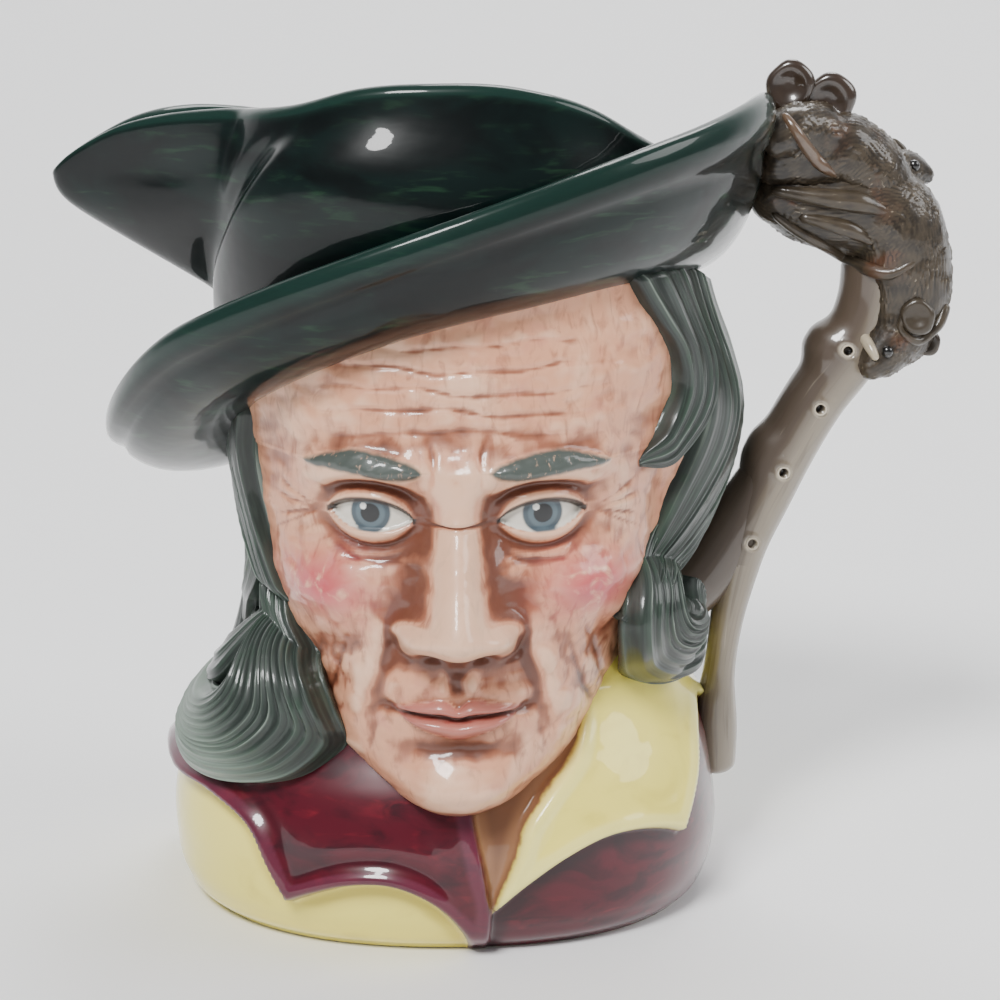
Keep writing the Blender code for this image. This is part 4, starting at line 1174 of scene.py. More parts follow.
        # The hollow value lets the coat's paint lay painted shade in its hollows and painted highlight on
        # its raised hems.
        values = {"wine": wine, "neck": neck, "foot": 0.35 - z, "hollow": np.clip(
            (blurred(carved, 5) - carved) * 1.3, -1, 1)}
        padded = {}
        for key, data in values.items():
            below = np.repeat(data[:1] * 0 + (1.0 if key == "foot" else -3.0), len(floor), axis=0)
            below[-1] = data[0]
            padded[key] = np.concatenate([below, data, np.repeat(data[-1:], len(inside), axis=0)])
        made = MeshMaker.rings("coat_and_cape", self.form.outside_hollow(rings), padded)
        return Piece(made, CoatPaint().material()).hand_over()


@dataclass
class Hat:
    """The hat: the open crown with its spout and the turned-up brim round it."""

    form: JugForm
    brim: np.ndarray = field(default_factory=lambda: np.array([
        [0.0, 53.0, 132.0, 63.5, 133.0, 67.5, 151.5, 55.0, 147.0],
        [45.0, 50.0, 137.0, 62.0, 140.0, 66.5, 166.0, 53.0, 157.0],
        [90.0, 49.0, 134.0, 65.0, 136.0, 67.5, 170.0, 50.0, 154.0],
        [135.0, 48.0, 121.0, 60.0, 121.0, 66.0, 151.0, 50.0, 140.0],
        [180.0, 46.0, 106.0, 58.0, 103.0, 65.0, 125.0, 50.0, 121.0],
        [225.0, 46.0, 97.0, 60.0, 92.0, 68.0, 107.0, 50.0, 111.0],
        [270.0, 44.0, 94.0, 66.0, 86.0, 73.0, 100.0, 50.0, 112.0],
        [315.0, 50.0, 115.5, 66.0, 111.0, 72.5, 130.0, 55.0, 128.0],
    ]))
    fold: tuple = ((-68, 112), (-66, 124), (-61, 137), (-50, 149), (-37, 162), (-28, 172))
    crown_columns: int = 340
    brim_columns: int = 400

    def crown_relief(self, angle: np.ndarray, z: np.ndarray) -> np.ndarray:
        """The rounded fold of the crown where it overlaps the spout, and the hollow beside it."""
        line = line_through([(a, h, 0) for a, h in self.fold], 60, (0.9, 1, 1))
        away = np.full(z.shape, 1e9)
        side = np.zeros(z.shape)
        degrees = np.degrees(angle)
        for (a0, z0, _), (a1, z1, _) in zip(line[:-1], line[1:]):
            dx, dz = (degrees - a0) * 0.9, z - z0
            ex, ez = (a1 - a0) * 0.9, z1 - z0
            t = np.clip((dx * ex + dz * ez) / (ex * ex + ez * ez), 0, 1)
            gap = np.hypot(dx - t * ex, dz - t * ez)
            closer = gap < away
            side = np.where(closer, dx * ez - dz * ex, side)
            away = np.where(closer, gap, away)
        signed = np.where(side > 0, away, -away)
        ends = step(z, 108, 122) * (1 - step(z, 160, 174))
        swell = np.where(signed > 0, np.exp(-(signed / 16) ** 2), np.exp(-(signed / 3.2) ** 2))
        dent = -2.2 * mound(degrees, z, (-73, 158), (7, 7)) - 1.6 * bell(signed, -5.5, 3.2) * ends
        return 2.6 * swell * ends + dent

    def crown(self) -> bpy.types.Object:
        """Makes the crown and spout, over the rim and a little way down inside."""
        base = np.linspace(-math.pi, math.pi, self.crown_columns, endpoint=False)
        turns = base - 0.45 * np.sin(base - self.form.spout_turn)
        rim = self.form.rim_height(turns)
        half = WALL / 2
        top_outer = self.form.plain_radius(turns, rim - half)
        top_inner = self.form.inner_radius(turns, rim - half, WALL)
        start = curve_around(self.brim, turns)[:, 7] - 9
        rings, edge = [], []
        for share in np.linspace(0, 1, 88):
            z = start + (rim - half - start) * share
            carved = self.crown_relief(turns[None, :], z[None, :])[0] * (1 - step(share, 0.86, 1.0))
            radius = self.form.plain_radius(turns, z) + carved
            rings.append(place(radius, turns, z))
            # The edge value marks where the painted highlight lies along the rim.
            edge.append(bell(rim - z, 0, 3.0))
        middle, reach = (top_outer + top_inner) / 2, (top_outer - top_inner) / 2
        for bend in np.linspace(0, math.pi, 13)[1:-1]:
            z = rim - half + half * math.sin(bend)
            rings.append(place(middle + reach * math.cos(bend), turns, z))
            edge.append(np.ones(self.crown_columns))
        for drop in np.linspace(0, 7, 9):
            z = rim - half - drop
            rings.append(place(self.form.inner_radius(turns, z, WALL), turns, z))
            edge.append(np.full(self.crown_columns, math.exp(-drop / 3)))
        for share in np.linspace(0, 1, 22):
            z = start + (rim - half - 7 - start) * (1 - share)
            rings.append(place(self.form.inner_radius(turns, z, WALL) + 1.4, turns, z))
            edge.append(np.zeros(self.crown_columns))
        made = MeshMaker.rings("hat_crown_and_spout", np.stack(rings), {"edge": np.stack(edge)},
                               closed=True)
        return Piece(made, HatPaint().material()).hand_over()

    def brim_ring(self) -> bpy.types.Object:
        """Makes the brim: a ring round the crown with a rolled lip and a gutter behind it."""
        share = np.linspace(0, 1, 26)[:, None]
        rings, edge = [], []
        for angle in np.linspace(-math.pi, math.pi, self.brim_columns, endpoint=False):
            root, belly, lip, gutter = curve_around(self.brim, np.array(angle)).reshape(4, 2)
            outside = root * (1 - share) ** 2 + belly * 2 * share * (1 - share) + lip * share**2
            along = (lip - belly) / np.linalg.norm(lip - belly)
            inwards = np.array([-along[1], along[0]])
            roll = 0.8 * bell(share, 0.94, 0.06) - 0.75 * bell(share, 0.83, 0.04)
            outside = outside - inwards * roll
            bend = np.linspace(0, math.pi, 12)[1:, None]
            rounding = lip + inwards * BRIM_LIP * (1 - np.cos(bend)) + along * BRIM_LIP * np.sin(bend)
            low = np.array([0.5 * gutter[0] + 0.5 * lip[0], gutter[1]])
            inside = rounding[-1] * (1 - share) ** 2 + low * 2 * share * (1 - share) + gutter * share**2
            behind = np.array([gutter - (7, 0), root + (-7, 4)])
            profile = np.vstack([outside, rounding, inside[1:], behind])
            rings.append(place(profile[:, 0], np.full(len(profile), angle), profile[:, 1]))
            # Painted highlight along the brim's rolled lip.
            painted_lip_highlight = np.concatenate([bell(share[:, 0], 1, 0.10) * 0.8, np.ones(len(bend)) * 0.85,
                                    bell(share[1:, 0], 0, 0.12) * 0.8, [0, 0]])
            edge.append(painted_lip_highlight)
        rings = self.form.outside_hollow(np.stack(rings))
        made = MeshMaker.rings("hat_brim", rings, {"edge": np.stack(edge)}, closed=True)
        return Piece(made, bpy.data.materials["bottle_green_hat"]).hand_over()

    def inside(self) -> bpy.types.Object:
        """Makes the glazed inside of the jug, from its floor up to the rim."""
        columns = self.crown_columns
        base = np.linspace(-math.pi, math.pi, columns, endpoint=False)
        turns = base - 0.45 * np.sin(base - self.form.spout_turn)
        rim = self.form.rim_height(turns) - WALL / 2 - 6.5
        rings = []
        for share, rise in ((0.5, 0.0), (0.86, 0.25), (0.95, 1.2), (0.99, 2.8)):
            z = np.full(columns, FLOOR + rise)
            rings.append(place(self.form.inner_radius(turns, z, WALL) * share, turns, z))
        for share in np.linspace(0.03, 1, 44):
            z = FLOOR + 4 + (rim - FLOOR - 4) * share
            rings.append(place(self.form.inner_radius(turns, z, WALL) - 0.1 * step(share, 0.8, 1), turns,
                               z))
        back = [ring.copy() for ring in rings[::-3]]
        for ring in back:
            radius = np.linalg.norm(ring[:, :2], axis=1)[:, None]
            ring[:, :2] *= (radius + 0.4) / radius
            ring[:, 2] -= 0.3
        made = MeshMaker.rings("glazed_inside", np.stack(rings + back), {})
        return Piece(made, PlainPaint("cream_inside", "#ece6d6", "#d8d0bb").material()).hand_over()

    def build(self) -> None:
        """Makes the hat's pieces."""
        self.crown()
        self.brim_ring()
        self.inside()


class Lock(Enum):
    """The locks of hair whose guides are drawn one by one."""

    RIGHT_TEMPLE = "right_temple_lock"
    RIGHT_MAIN = "right_hair"
    RIGHT_CURL = "right_curl"
    LEFT_TEMPLE = "left_hair"
    LEFT_CURL = "left_curl"
    LEFT_WAVE = "left_wave"
    LEFT_INNER = "left_inner_curl"


@dataclass
class Hair:
    """The long hair: sheets of combed strands that follow guides of (degrees, height, lift)."""

    form: JugForm
    seed: int = 7
    dive: float = 1.6
    dive_start: float = 2.8
    guides: dict = field(default_factory=lambda: {
        Lock.RIGHT_TEMPLE: ([[(37.0, 147, 0), (40.5, 139, 1.2), (45.9, 131.2, 1.5), (51.6, 124.8, 2.0),
                              (54.1, 118.5, 2.2), (52.3, 112, 2.0),
            (48.0, 106.6, 1.6), (44.0, 103.0, 0.8)],
            [(58, 147, 0), (61, 139, 1.2), (66, 129, 1.5), (68, 120, 2.2), (66, 112, 2.2), (61, 105, 1.8),
             (53, 99.5, 1.4),
            (45, 101.0, 0.8)]], 13, 100, 100),
        Lock.RIGHT_MAIN: ([[(54, 147, 0), (57, 139, 0.4), (62, 125, 0.5), (63.5, 114, 1), (61, 104, 1),
                            (57, 94, 1), (53, 84, 1),
            (45, 77.0, 1), (38, 71, 0)],
            [(84, 147, 0), (87, 139, 0.8), (90, 124, 1), (91, 111, 1.6), (87, 98, 1.8), (78, 88, 1.6),
             (67, 80, 1.5),
            (53, 74, 1.2), (42, 69, 0)],
            [(112, 142, 0), (115, 136, 0.4), (118, 124, 0.5), (119, 110, 1), (113, 97, 1), (101, 85, 1),
             (83, 77, 1),
            (62, 72, 1), (46, 67, 0)]], 30, 165, 195),
        Lock.RIGHT_CURL: ([[(62, 94, -3.0), (53, 86.5, -1.6), (44, 79.0, 0.2), (39, 68.2, 0.4),
                            (42, 60.5, 0.8),
            (50, 54.5, 2.2), (61, 51.0, 5.5), (71, 52.3, 8.5), (78, 57.4, 10.0)],
            [(71, 93, -3.0), (62, 85.5, -0.8), (53, 76.5, 1.2), (50, 69.3, 1.5), (53, 63.5, 2.6),
            (59, 60.6, 4.8), (65, 60.8, 7.0), (71, 63.2, 8.5), (75, 67.6, 9.0)],
            [(80, 91, -3.0), (71, 83, -0.4), (62, 76.5, 2.0), (58, 71.5, 3.2), (58, 68.8, 4.2),
            (61, 67.2, 5.4), (65, 67.4, 6.6), (69, 69.3, 7.2), (72, 72.5, 7.2)]], 22, 145, 140),
        Lock.LEFT_TEMPLE: ([[(-49, 116, 0), (-50, 104, 2.2), (-49, 94, 2.4), (-46.5, 86, 2.4),
                             (-42.5, 78, 2), (-37, 70, 1)],
            [(-68, 116, 0), (-67, 103, 2.4), (-65, 93, 2.6), (-61, 84, 2.6), (-55, 77, 2.4), (-48, 69, 1)],
            [(-90, 112, 0), (-88, 101, 1.2), (-84, 92, 1.6), (-78, 84, 2), (-68, 76, 2), (-58, 68, 1)]],
            22, 135, 145),
        Lock.LEFT_CURL: ([[(-44, 80, 0), (-40, 71, 1.2), (-33, 63, 1.2), (-27, 55, 0.6), (-24.5, 47, 0.4),
                           (-31, 38.5, 0.6),
            (-45, 34.0, 0.8), (-60, 33.5, 0.8), (-75, 38, 0.8), (-87, 44, 0.8), (-99, 52, 0)],
            [(-56, 80, 0), (-53, 72, 1.6), (-48, 65, 1.8), (-43, 58, 1.6), (-41, 51, 1.4), (-46, 44.5, 1.2),
            (-55, 42, 1.2), (-65, 43, 1.0), (-76, 47, 1.0), (-87, 51, 1.0), (-99, 57, 0)],
            [(-66, 80, 0), (-64, 73, 1.4), (-61, 67, 1.6), (-57, 61, 1.4), (-56, 55.5, 1.2),
             (-60, 51.5, 1.0),
            (-66, 50.5, 1.0), (-73, 51.5, 0.8), (-80, 54, 1.0), (-89, 57, 1.0), (-99, 62, 0)]], 34, 195,
            215),
        Lock.LEFT_WAVE: ([[(-66, 94, -1.5), (-61, 84, 0.4), (-61, 77, 1.2), (-66, 71, 1.6), (-74, 66, 2.0),
                           (-83, 62, 2.0), (-90, 56, 1.6), (-93, 48, 0)],
            [(-90, 96, -1.5), (-84, 87, 0.6), (-82, 79, 1.4), (-90, 71, 1.8), (-100, 65, 1.6),
             (-106, 57, 1.2), (-107, 47, 0)]],
            13, 105, 90),
        Lock.LEFT_INNER: ([[(-60, 78, -1.5), (-57, 68, -0.6), (-56, 60, -0.6), (-59, 53, -0.8),
                            (-68, 50, -0.8),
            (-80, 52, -0.6), (-92, 57, -1.2)],
            [(-73, 76, -1.5), (-71, 70, -0.2), (-70, 66, 0), (-72, 63, 0), (-77, 62, 0),
            (-84, 63, -0.2), (-93, 66, -1.2)]], 10, 80, 64),
    })
    back_count: int = 9
    back_start: float = 113.0
    back_step: float = 18.0

    @staticmethod
    def furrows(rng: np.random.Generator, across: np.ndarray, along: np.ndarray,
                count: int) -> tuple[np.ndarray, np.ndarray]:
        """Uneven furrows side by side, whose borders come and go along the lock.

        Args:
            rng: where the unevenness comes from.
            across: place across the sheet, from 0 to 1.
            along: place along the sheet, from 0 to 1.
            count: how many furrows.

        Returns:
            How far inside a furrow a point lies, from 0 on a border to 1, and the strength of the
            nearest border.
        """
        gaps = rng.uniform(0.4, 1.6, count)
        borders = np.concatenate([[0], np.cumsum(gaps)]) / gaps.sum()
        wave = np.interp(across, borders, np.arange(count + 1))
        nearest = np.round(wave).astype(int)
        strength, pace, start = (rng.uniform(low, high, count + 1)[nearest]
                                 for low, high in ((0.4, 1), (3, 8), (0, 6)))
        return np.abs(np.sin(math.pi * wave)), strength * (0.6 + 0.4 * np.sin(pace * along + start))

    def sheet(self, name: str, guides: Sequence[Rows], strands: int, rows: int, columns: int,
              crown: float = 1.2, depth: float = 0.8,
              pale: tuple[float, float] = (0, 0)) -> bpy.types.Object:
        """Makes one sheet of strands.

        Args:
            name: the piece's name.
            guides: lines of (degrees, height, lift), from one edge of the sheet to the other.
            strands: how many strands lie side by side.
            rows: points along a strand.
            columns: points across the sheet.
            crown: how much the sheet rises in its middle.
            depth: depth of a groove in millimetres.
            pale: shares of the length between which the hair grows lighter.

        Returns:
            The piece.
        """
        rng = np.random.default_rng(self.seed + strands * rows + len(name))
        lines = np.stack([line_through(g, rows, (0.9, 1, 0)) for g in guides])
        key = np.linspace(0, 1, len(guides))
        across = np.linspace(0, 1, columns)
        if len(guides) > 2:
            flat = np.column_stack([key, lines.reshape(len(guides), -1)])
            grid = curve_through(flat, across).reshape(columns, rows, 3)
        else:
            grid = lines[0] + (lines[1] - lines[0]) * across[:, None, None]
        w, s = np.meshgrid(across, np.linspace(0, 1, rows), indexing="ij")
        phase = rng.uniform(0, 6, 4)
        sway = 0.030 * np.sin(4.2 * s + phase[0] + 3 * w) + 0.012 * np.sin(9 * s + 6 * w + phase[1])
        drift = (w + sway * np.sin(math.pi * w)).clip(0, 1)
        bands = max(3, round(strands * 0.4))
        inside, crests = self.furrows(rng, drift, s, bands)
        finer = (drift + 0.012 * np.sin(7 * s + phase[2]) * np.sin(math.pi * w)).clip(0, 1)
        lines, lights = self.furrows(rng, finer, s, round(strands * 1.5))
        ridge = (1 - inside**0.5) * crests
        thin = (1 - lines**0.7) * lights * (0.35 + 0.65 * inside)
        end = step(s, 0, 0.12) * (1 - step(s, 0.84, 1))
        body = crown * (1 - (2 * w - 1) ** 4) - 3.2 * (1 - step(np.minimum(w, 1 - w), 0, 0.09)) - 3.2 * (
            1 - end)
        light = step(s, *pale) if pale[1] > pale[0] else s * 0
        carved = depth * (0.75 * ridge - 0.45 * inside**1.3 + 0.2 * thin) * (1 - 0.3 * light)
        angle, z = np.radians(grid[..., 0]), grid[..., 1]
        plain = self.form.hair_radius(angle, z)
        root = curve_around(Hat(self.form).brim, angle)[..., 1]
        start = root + self.dive_start * (1 - 1.3 * step(grid[..., 0], 58, 86))
        under_brim = self.dive * np.maximum(z - start, 0)
        radius = plain + grid[..., 2] + body + carved * (0.3 + 0.7 * end) - under_brim
        behind = np.linspace(0, columns - 1, 8).astype(int)
        outside = self.form.outside_hollow(place(radius, angle, z))
        inner = self.form.outside_hollow(place(plain[behind] - 4.2, angle[behind], z[behind]))
        steps = np.linalg.norm(np.diff(outside, axis=1), axis=2)
        length = np.concatenate([np.zeros((columns, 1)), np.cumsum(steps, axis=1)], axis=1)
        spread = np.cumsum(np.linalg.norm(np.diff(outside, axis=0), axis=2), axis=0)
        flow = np.stack([w * np.median(spread[-1]), length, np.full_like(w, float(len(name)) * 9)], axis=-1)
        crest = np.clip(0.15 + ridge * 0.8 + 0.4 * thin - 0.15 * inside, -0.6, 1.2)
        values = {"crest": crest.T, "flow": flow.transpose(1, 0, 2), "light": light.T}
        made = MeshMaker.slab(name, outside.transpose(1, 0, 2), inner.transpose(1, 0, 2), values)
        return Piece(made, self.finish).hand_over()

    def back_guides(self, number: int) -> list[list[tuple[float, float, float]]]:
        """The two edges of one lock at the back, which sways and ends in a flick."""
        middle = self.back_start + self.back_step * number
        sway = 1.2 + 1.6 * math.sin(2.3 * number)
        turn = math.radians(middle)
        root = float(curve_around(Hat(self.form).brim, np.array(turn))[1]) + 6
        heights = [root, root * 0.75 + 15, root * 0.5 + 29, root * 0.25 + 43, 54, 45, 40, 44]
        swing = [0, 1, 0.6, -0.4, 0, 1.2, 2.4, 3.2]
        lifts = [0, 1.2, 1.6, 1.8, 2.2, 2.6, 2.8, 0.5]
        half = [11.5, 12.5, 12.5, 12.5, 12, 10.5, 7.5, 4]
        edges = []
        for side in (-1, 1):
            edges.append([(middle + sway * s + side * h, z, lift)
                          for s, h, z, lift in zip(swing, half, heights, lifts)])
        return edges

    def build(self) -> None:
        """Makes every lock."""
        self.finish = HairPaint().material()
        for lock, (guides, strands, rows, columns) in self.guides.items():
            pale = (0.3, 0.6) if lock is Lock.LEFT_CURL else (0, 0)
            self.sheet(lock.value, guides, strands, rows, columns, pale=pale)
        for number in range(self.back_count):
            self.sheet(f"back_lock_{number}", self.back_guides(number), 9, 88, 48, crown=2.4, depth=0.8,
                       pale=(0.7, 1.0))


@dataclass
class Handle:
    """The pipe of the handle with its knots and finger holes."""

    middle: tuple = (((91.4, 9, 137), 7.2, 7.2), ((90.6, 9, 127), 7.2, 7.0), ((86.6, 8.5, 116.5), 7.0, 7.0),
                     ((79.2, 8, 106), 6.8, 6.8), ((70.6, 7, 90.3), 6.7, 6.6), ((64.4, 5, 76.3), 6.5, 6.2),
                     ((61.4, 4, 62), 5.2, 5.4), ((59.5, 3, 49), 3.8, 4.6), ((58.3, 2, 36), 3.5, 4.2),
                     ((58.5, 2, 27), 4.9, 4.9), ((58.6, 2, 21.5), 4.3, 4.3))
    web: tuple = (((46, 0, 60), 7.0, 6.0), ((55, 3, 68), 7.5, 6.0), ((62.5, 4.8, 79), 7.0, 5.6),
                  ((67.8, 6, 89), 5.4, 5.0), ((72, 7, 97.5), 3.4, 4.0))
    knots: tuple = (((81.2, 8, 117.3), 4.7), ((68.6, 7, 93.5), 5.2))
    holes: tuple = ((85.2, 117.2), (79.6, 104.5), (72.0, 90.5), (65.4, 75.0))
    rows: int = 290
    sides: int = 60

    def pipe(self) -> bpy.types.Object:
        """Makes the pipe with its holes sunk in."""
        line = line_through([p for p, _, _ in self.middle], self.rows)
        keys = np.linspace(0, 1, len(self.middle))
        at = np.linspace(0, 1, self.rows)
        width = curve_through(np.column_stack([keys, [w for _, w, _ in self.middle]]), at)[:, 0]
        depth = curve_through(np.column_stack([keys, [d for _, _, d in self.middle]]), at)[:, 0]
        close = np.clip(np.minimum(at, 1 - at) * 45, 0, 1)
        rounding = np.sqrt(1 - (1 - close) ** 2 * 0.985)
        rings = MeshMaker.tube(line, width * rounding, depth * rounding, np.array([0, 1, 0]), self.sides)
        out = rings - line[:, None, :]
        out /= np.linalg.norm(out, axis=2)[..., None]
        hole = np.full(rings.shape[:2], -9.0)
        for x, z in self.holes:
            gap = np.hypot(rings[..., 0] - x, rings[..., 2] - z)
            hole = np.maximum(hole, np.where(out[..., 1] < 0, FINGER_HOLE - gap, -9))
        knot = np.zeros(rings.shape[:2])
        for (x, y, z), size in self.knots:
            centre = line[np.argmin(np.hypot(line[:, 0] - x, line[:, 2] - z))]
            reach = np.linalg.norm(np.array((x, y, z)) - centre) + size - 6.8
            bump = np.linalg.norm((rings - centre) / (1, 1.1, 1), axis=2)
            toward = np.clip(-(out[..., 0] * 0.86 - out[..., 2] * 0.5), 0, 1)
            along = np.abs((rings - centre) @ np.array((0.51, 0, 0.86)))
            knot = np.maximum(knot, reach * toward**1.6 * np.exp(-(along / size) ** 3) * (bump < 20))
        push = -2.0 * step(hole, -0.25, 0.35) + 0.25 * bell(hole, -0.8, 0.4) + knot
        rings = rings + out * push[..., None]
        flow = np.stack(np.broadcast_arrays(np.linspace(0, 46, self.sides)[None, :], at[:, None] * 125,
                                            0.0), axis=-1)
        # Where the painted shadow lies: on the pipe's inner side, weaker below.
        inner = np.clip(-out[..., 0] * 0.8 + 0.55 - 0.5 * (rings[..., 2] < 70), 0, 1)
        values = {"hole": hole, "hole_ring": hole + 0.5, "inner": inner, "flow": flow}
        return Piece(MeshMaker.rings("handle_pipe", rings, values), self.finish).hand_over()

    def bridge(self) -> bpy.types.Object:
        """Makes the web of clay that joins the pipe to the hair."""
        line = line_through([p for p, _, _ in self.web], 60)
        at = np.linspace(0, 1, 60)
        keys = np.linspace(0, 1, len(self.web))
        width = curve_through(np.column_stack([keys, [w for _, w, _ in self.web]]), at)[:, 0]
        depth = curve_through(np.column_stack([keys, [d for _, _, d in self.web]]), at)[:, 0]
        rings = MeshMaker.tube(line, width, depth, np.array([0, 1, 0]), 40)
        flow = np.stack(np.broadcast_arrays(np.linspace(0, 40, 40)[None, :], at[:, None] * 30, 0.0),
                        axis=-1)
        # The web carries painted shadow on its inner side, weaker at its top.
        values = {"hole": np.full(rings.shape[:2], -9.0), "hole_ring": np.full(rings.shape[:2], -9.0),
                  "inner": np.broadcast_to(0.85 - 0.5 * step(at, 0.75, 1)[:, None], rings.shape[:2]),
                  "flow": flow}
        return Piece(MeshMaker.rings("handle_web", rings, values), self.finish).hand_over()

    def rims(self) -> bpy.types.Object:
        """Makes the raised rims round the finger holes with a node tree."""
        line = line_through([p for p, _, _ in self.middle], 200)
        depth = np.interp(np.linspace(0, 1, 200), np.linspace(0, 1, len(self.middle)),
                          [d for _, _, d in self.middle])
        points, outs = [], []
        for x, z in self.holes:
            i = int(np.argmin(np.hypot(line[:, 0] - x, line[:, 2] - z)))
            across = (x - line[i, 0]) / 8.0
            outs.append((across * 0.8, -1.0, 0.0))
            points.append((x, line[i, 1] - depth[i] * math.sqrt(max(1 - across**2, 0.2)) + 0.15, z))
        mesh = bpy.data.meshes.new("finger_hole_rims")
        mesh.from_pydata([tuple(c * MM for c in p) for p in points], [], [])
        mesh.attributes.new("outward", "FLOAT_VECTOR", "POINT").data.foreach_set("vector", np.ravel(outs))
        made = bpy.data.objects.new("finger_hole_rims", mesh)
        bpy.context.scene.collection.objects.link(made)
        paint = PlainPaint("pale_rim", "#c9bda8", "#9c8f7c").material()
        tree = NodeTree("rim_maker", {"Rim radius": (FINGER_HOLE + 0.1) * MM, "Bead radius": 0.24 * MM})
        circle = tree.add("GeometryNodeCurvePrimitiveCircle")
        tree.join(tree.input("Rim radius"), circle.inputs["Radius"])
        circle.inputs["Resolution"].default_value = 28
        bead = tree.add("GeometryNodeCurvePrimitiveCircle")
        tree.join(tree.input("Bead radius"), bead.inputs["Radius"])
        bead.inputs["Resolution"].default_value = 8
        sweep = tree.add("GeometryNodeCurveToMesh")
        tree.join(circle.outputs["Curve"], sweep.inputs["Curve"])
        tree.join(bead.outputs["Curve"], sweep.inputs["Profile Curve"])
        stamp = tree.add("GeometryNodeInstanceOnPoints")
        tree.join(tree.input("Geometry"), stamp.inputs["Points"])
        tree.join(sweep.outputs["Mesh"], stamp.inputs["Instance"])
        tree.join(tree.facing("outward"), stamp.inputs["Rotation"])
        tree.end(stamp.outputs["Instances"], paint)
        return Piece(tree.bake(made), paint).hand_over()

    def build(self) -> None:
        """Makes the handle's pieces below the animals."""
        self.finish = PipePaint().material()
        self.pipe()
        self.bridge()
        self.rims()


class NodeTree:
    """A Geometry Nodes tree with named inputs, which ends realised and dressed."""

    def __init__(self, name: str, sizes: dict[str, float]) -> None:
        """Starts a tree.

        Args:
            name: the tree's name.
            sizes: named lengths in metres, which become inputs.
        """
        self.tree = bpy.data.node_groups.new(name, "GeometryNodeTree")
        self.tree.interface.new_socket("Geometry", in_out="INPUT", socket_type="NodeSocketGeometry")
        self.sizes = {}
        for key, size in sizes.items():
            socket = self.tree.interface.new_socket(key, in_out="INPUT", socket_type="NodeSocketFloat")
            self.sizes[socket.identifier] = size
        self.tree.interface.new_socket("Geometry", in_out="OUTPUT", socket_type="NodeSocketGeometry")
        self.start = self.add("NodeGroupInput")

    def add(self, kind: str) -> bpy.types.Node:
        """Adds a node."""
        return self.tree.nodes.new(kind)

    def input(self, name: str) -> bpy.types.NodeSocket:
        """One of the tree's inputs."""
        return self.start.outputs[name]

    def join(self, source: object, target: bpy.types.NodeSocket) -> None:
        """Links two sockets."""
        self.tree.links.new(source, target)

    def facing(self, attribute: str, axis: str = "Z") -> bpy.types.NodeSocket:
        """A rotation that points an axis along a vector stored on the points."""
        read = self.add("GeometryNodeInputNamedAttribute")
        read.data_type = "FLOAT_VECTOR"
        read.inputs["Name"].default_value = attribute
        turn = self.add("FunctionNodeAlignRotationToVector")
        turn.axis = axis
        self.join(read.outputs["Attribute"], turn.inputs["Vector"])
        return turn.outputs["Rotation"]

    def end(self, instances: bpy.types.NodeSocket, material: bpy.types.Material) -> None:
        """Realises the instances and gives them their material."""
        real = self.add("GeometryNodeRealizeInstances")
        self.join(instances, real.inputs["Geometry"])
        dress = self.add("GeometryNodeSetMaterial")
        dress.inputs["Material"].default_value = material
        self.join(real.outputs["Geometry"], dress.inputs["Geometry"])
        out = self.add("NodeGroupOutput")
        self.join(dress.outputs["Geometry"], out.inputs["Geometry"])

    def bake(self, carrier: bpy.types.Object) -> bpy.types.Object:
        """Runs the tree on an object and keeps the result as a plain mesh.

        Args:
            carrier: the object that holds the points or the surface.

        Returns:
            The same object with its new mesh.
        """
        modifier = carrier.modifiers.new(self.tree.name, "NODES")
        modifier.node_group = self.tree
        for identifier, size in self.sizes.items():
            modifier[identifier] = size
        bpy.context.view_layer.update()
        graph = bpy.context.evaluated_depsgraph_get()
        mesh = bpy.data.meshes.new_from_object(carrier.evaluated_get(graph))
        carrier.modifiers.remove(modifier)
        mesh.name = carrier.name
        carrier.data = mesh
        mesh.shade_smooth()
        return carrier


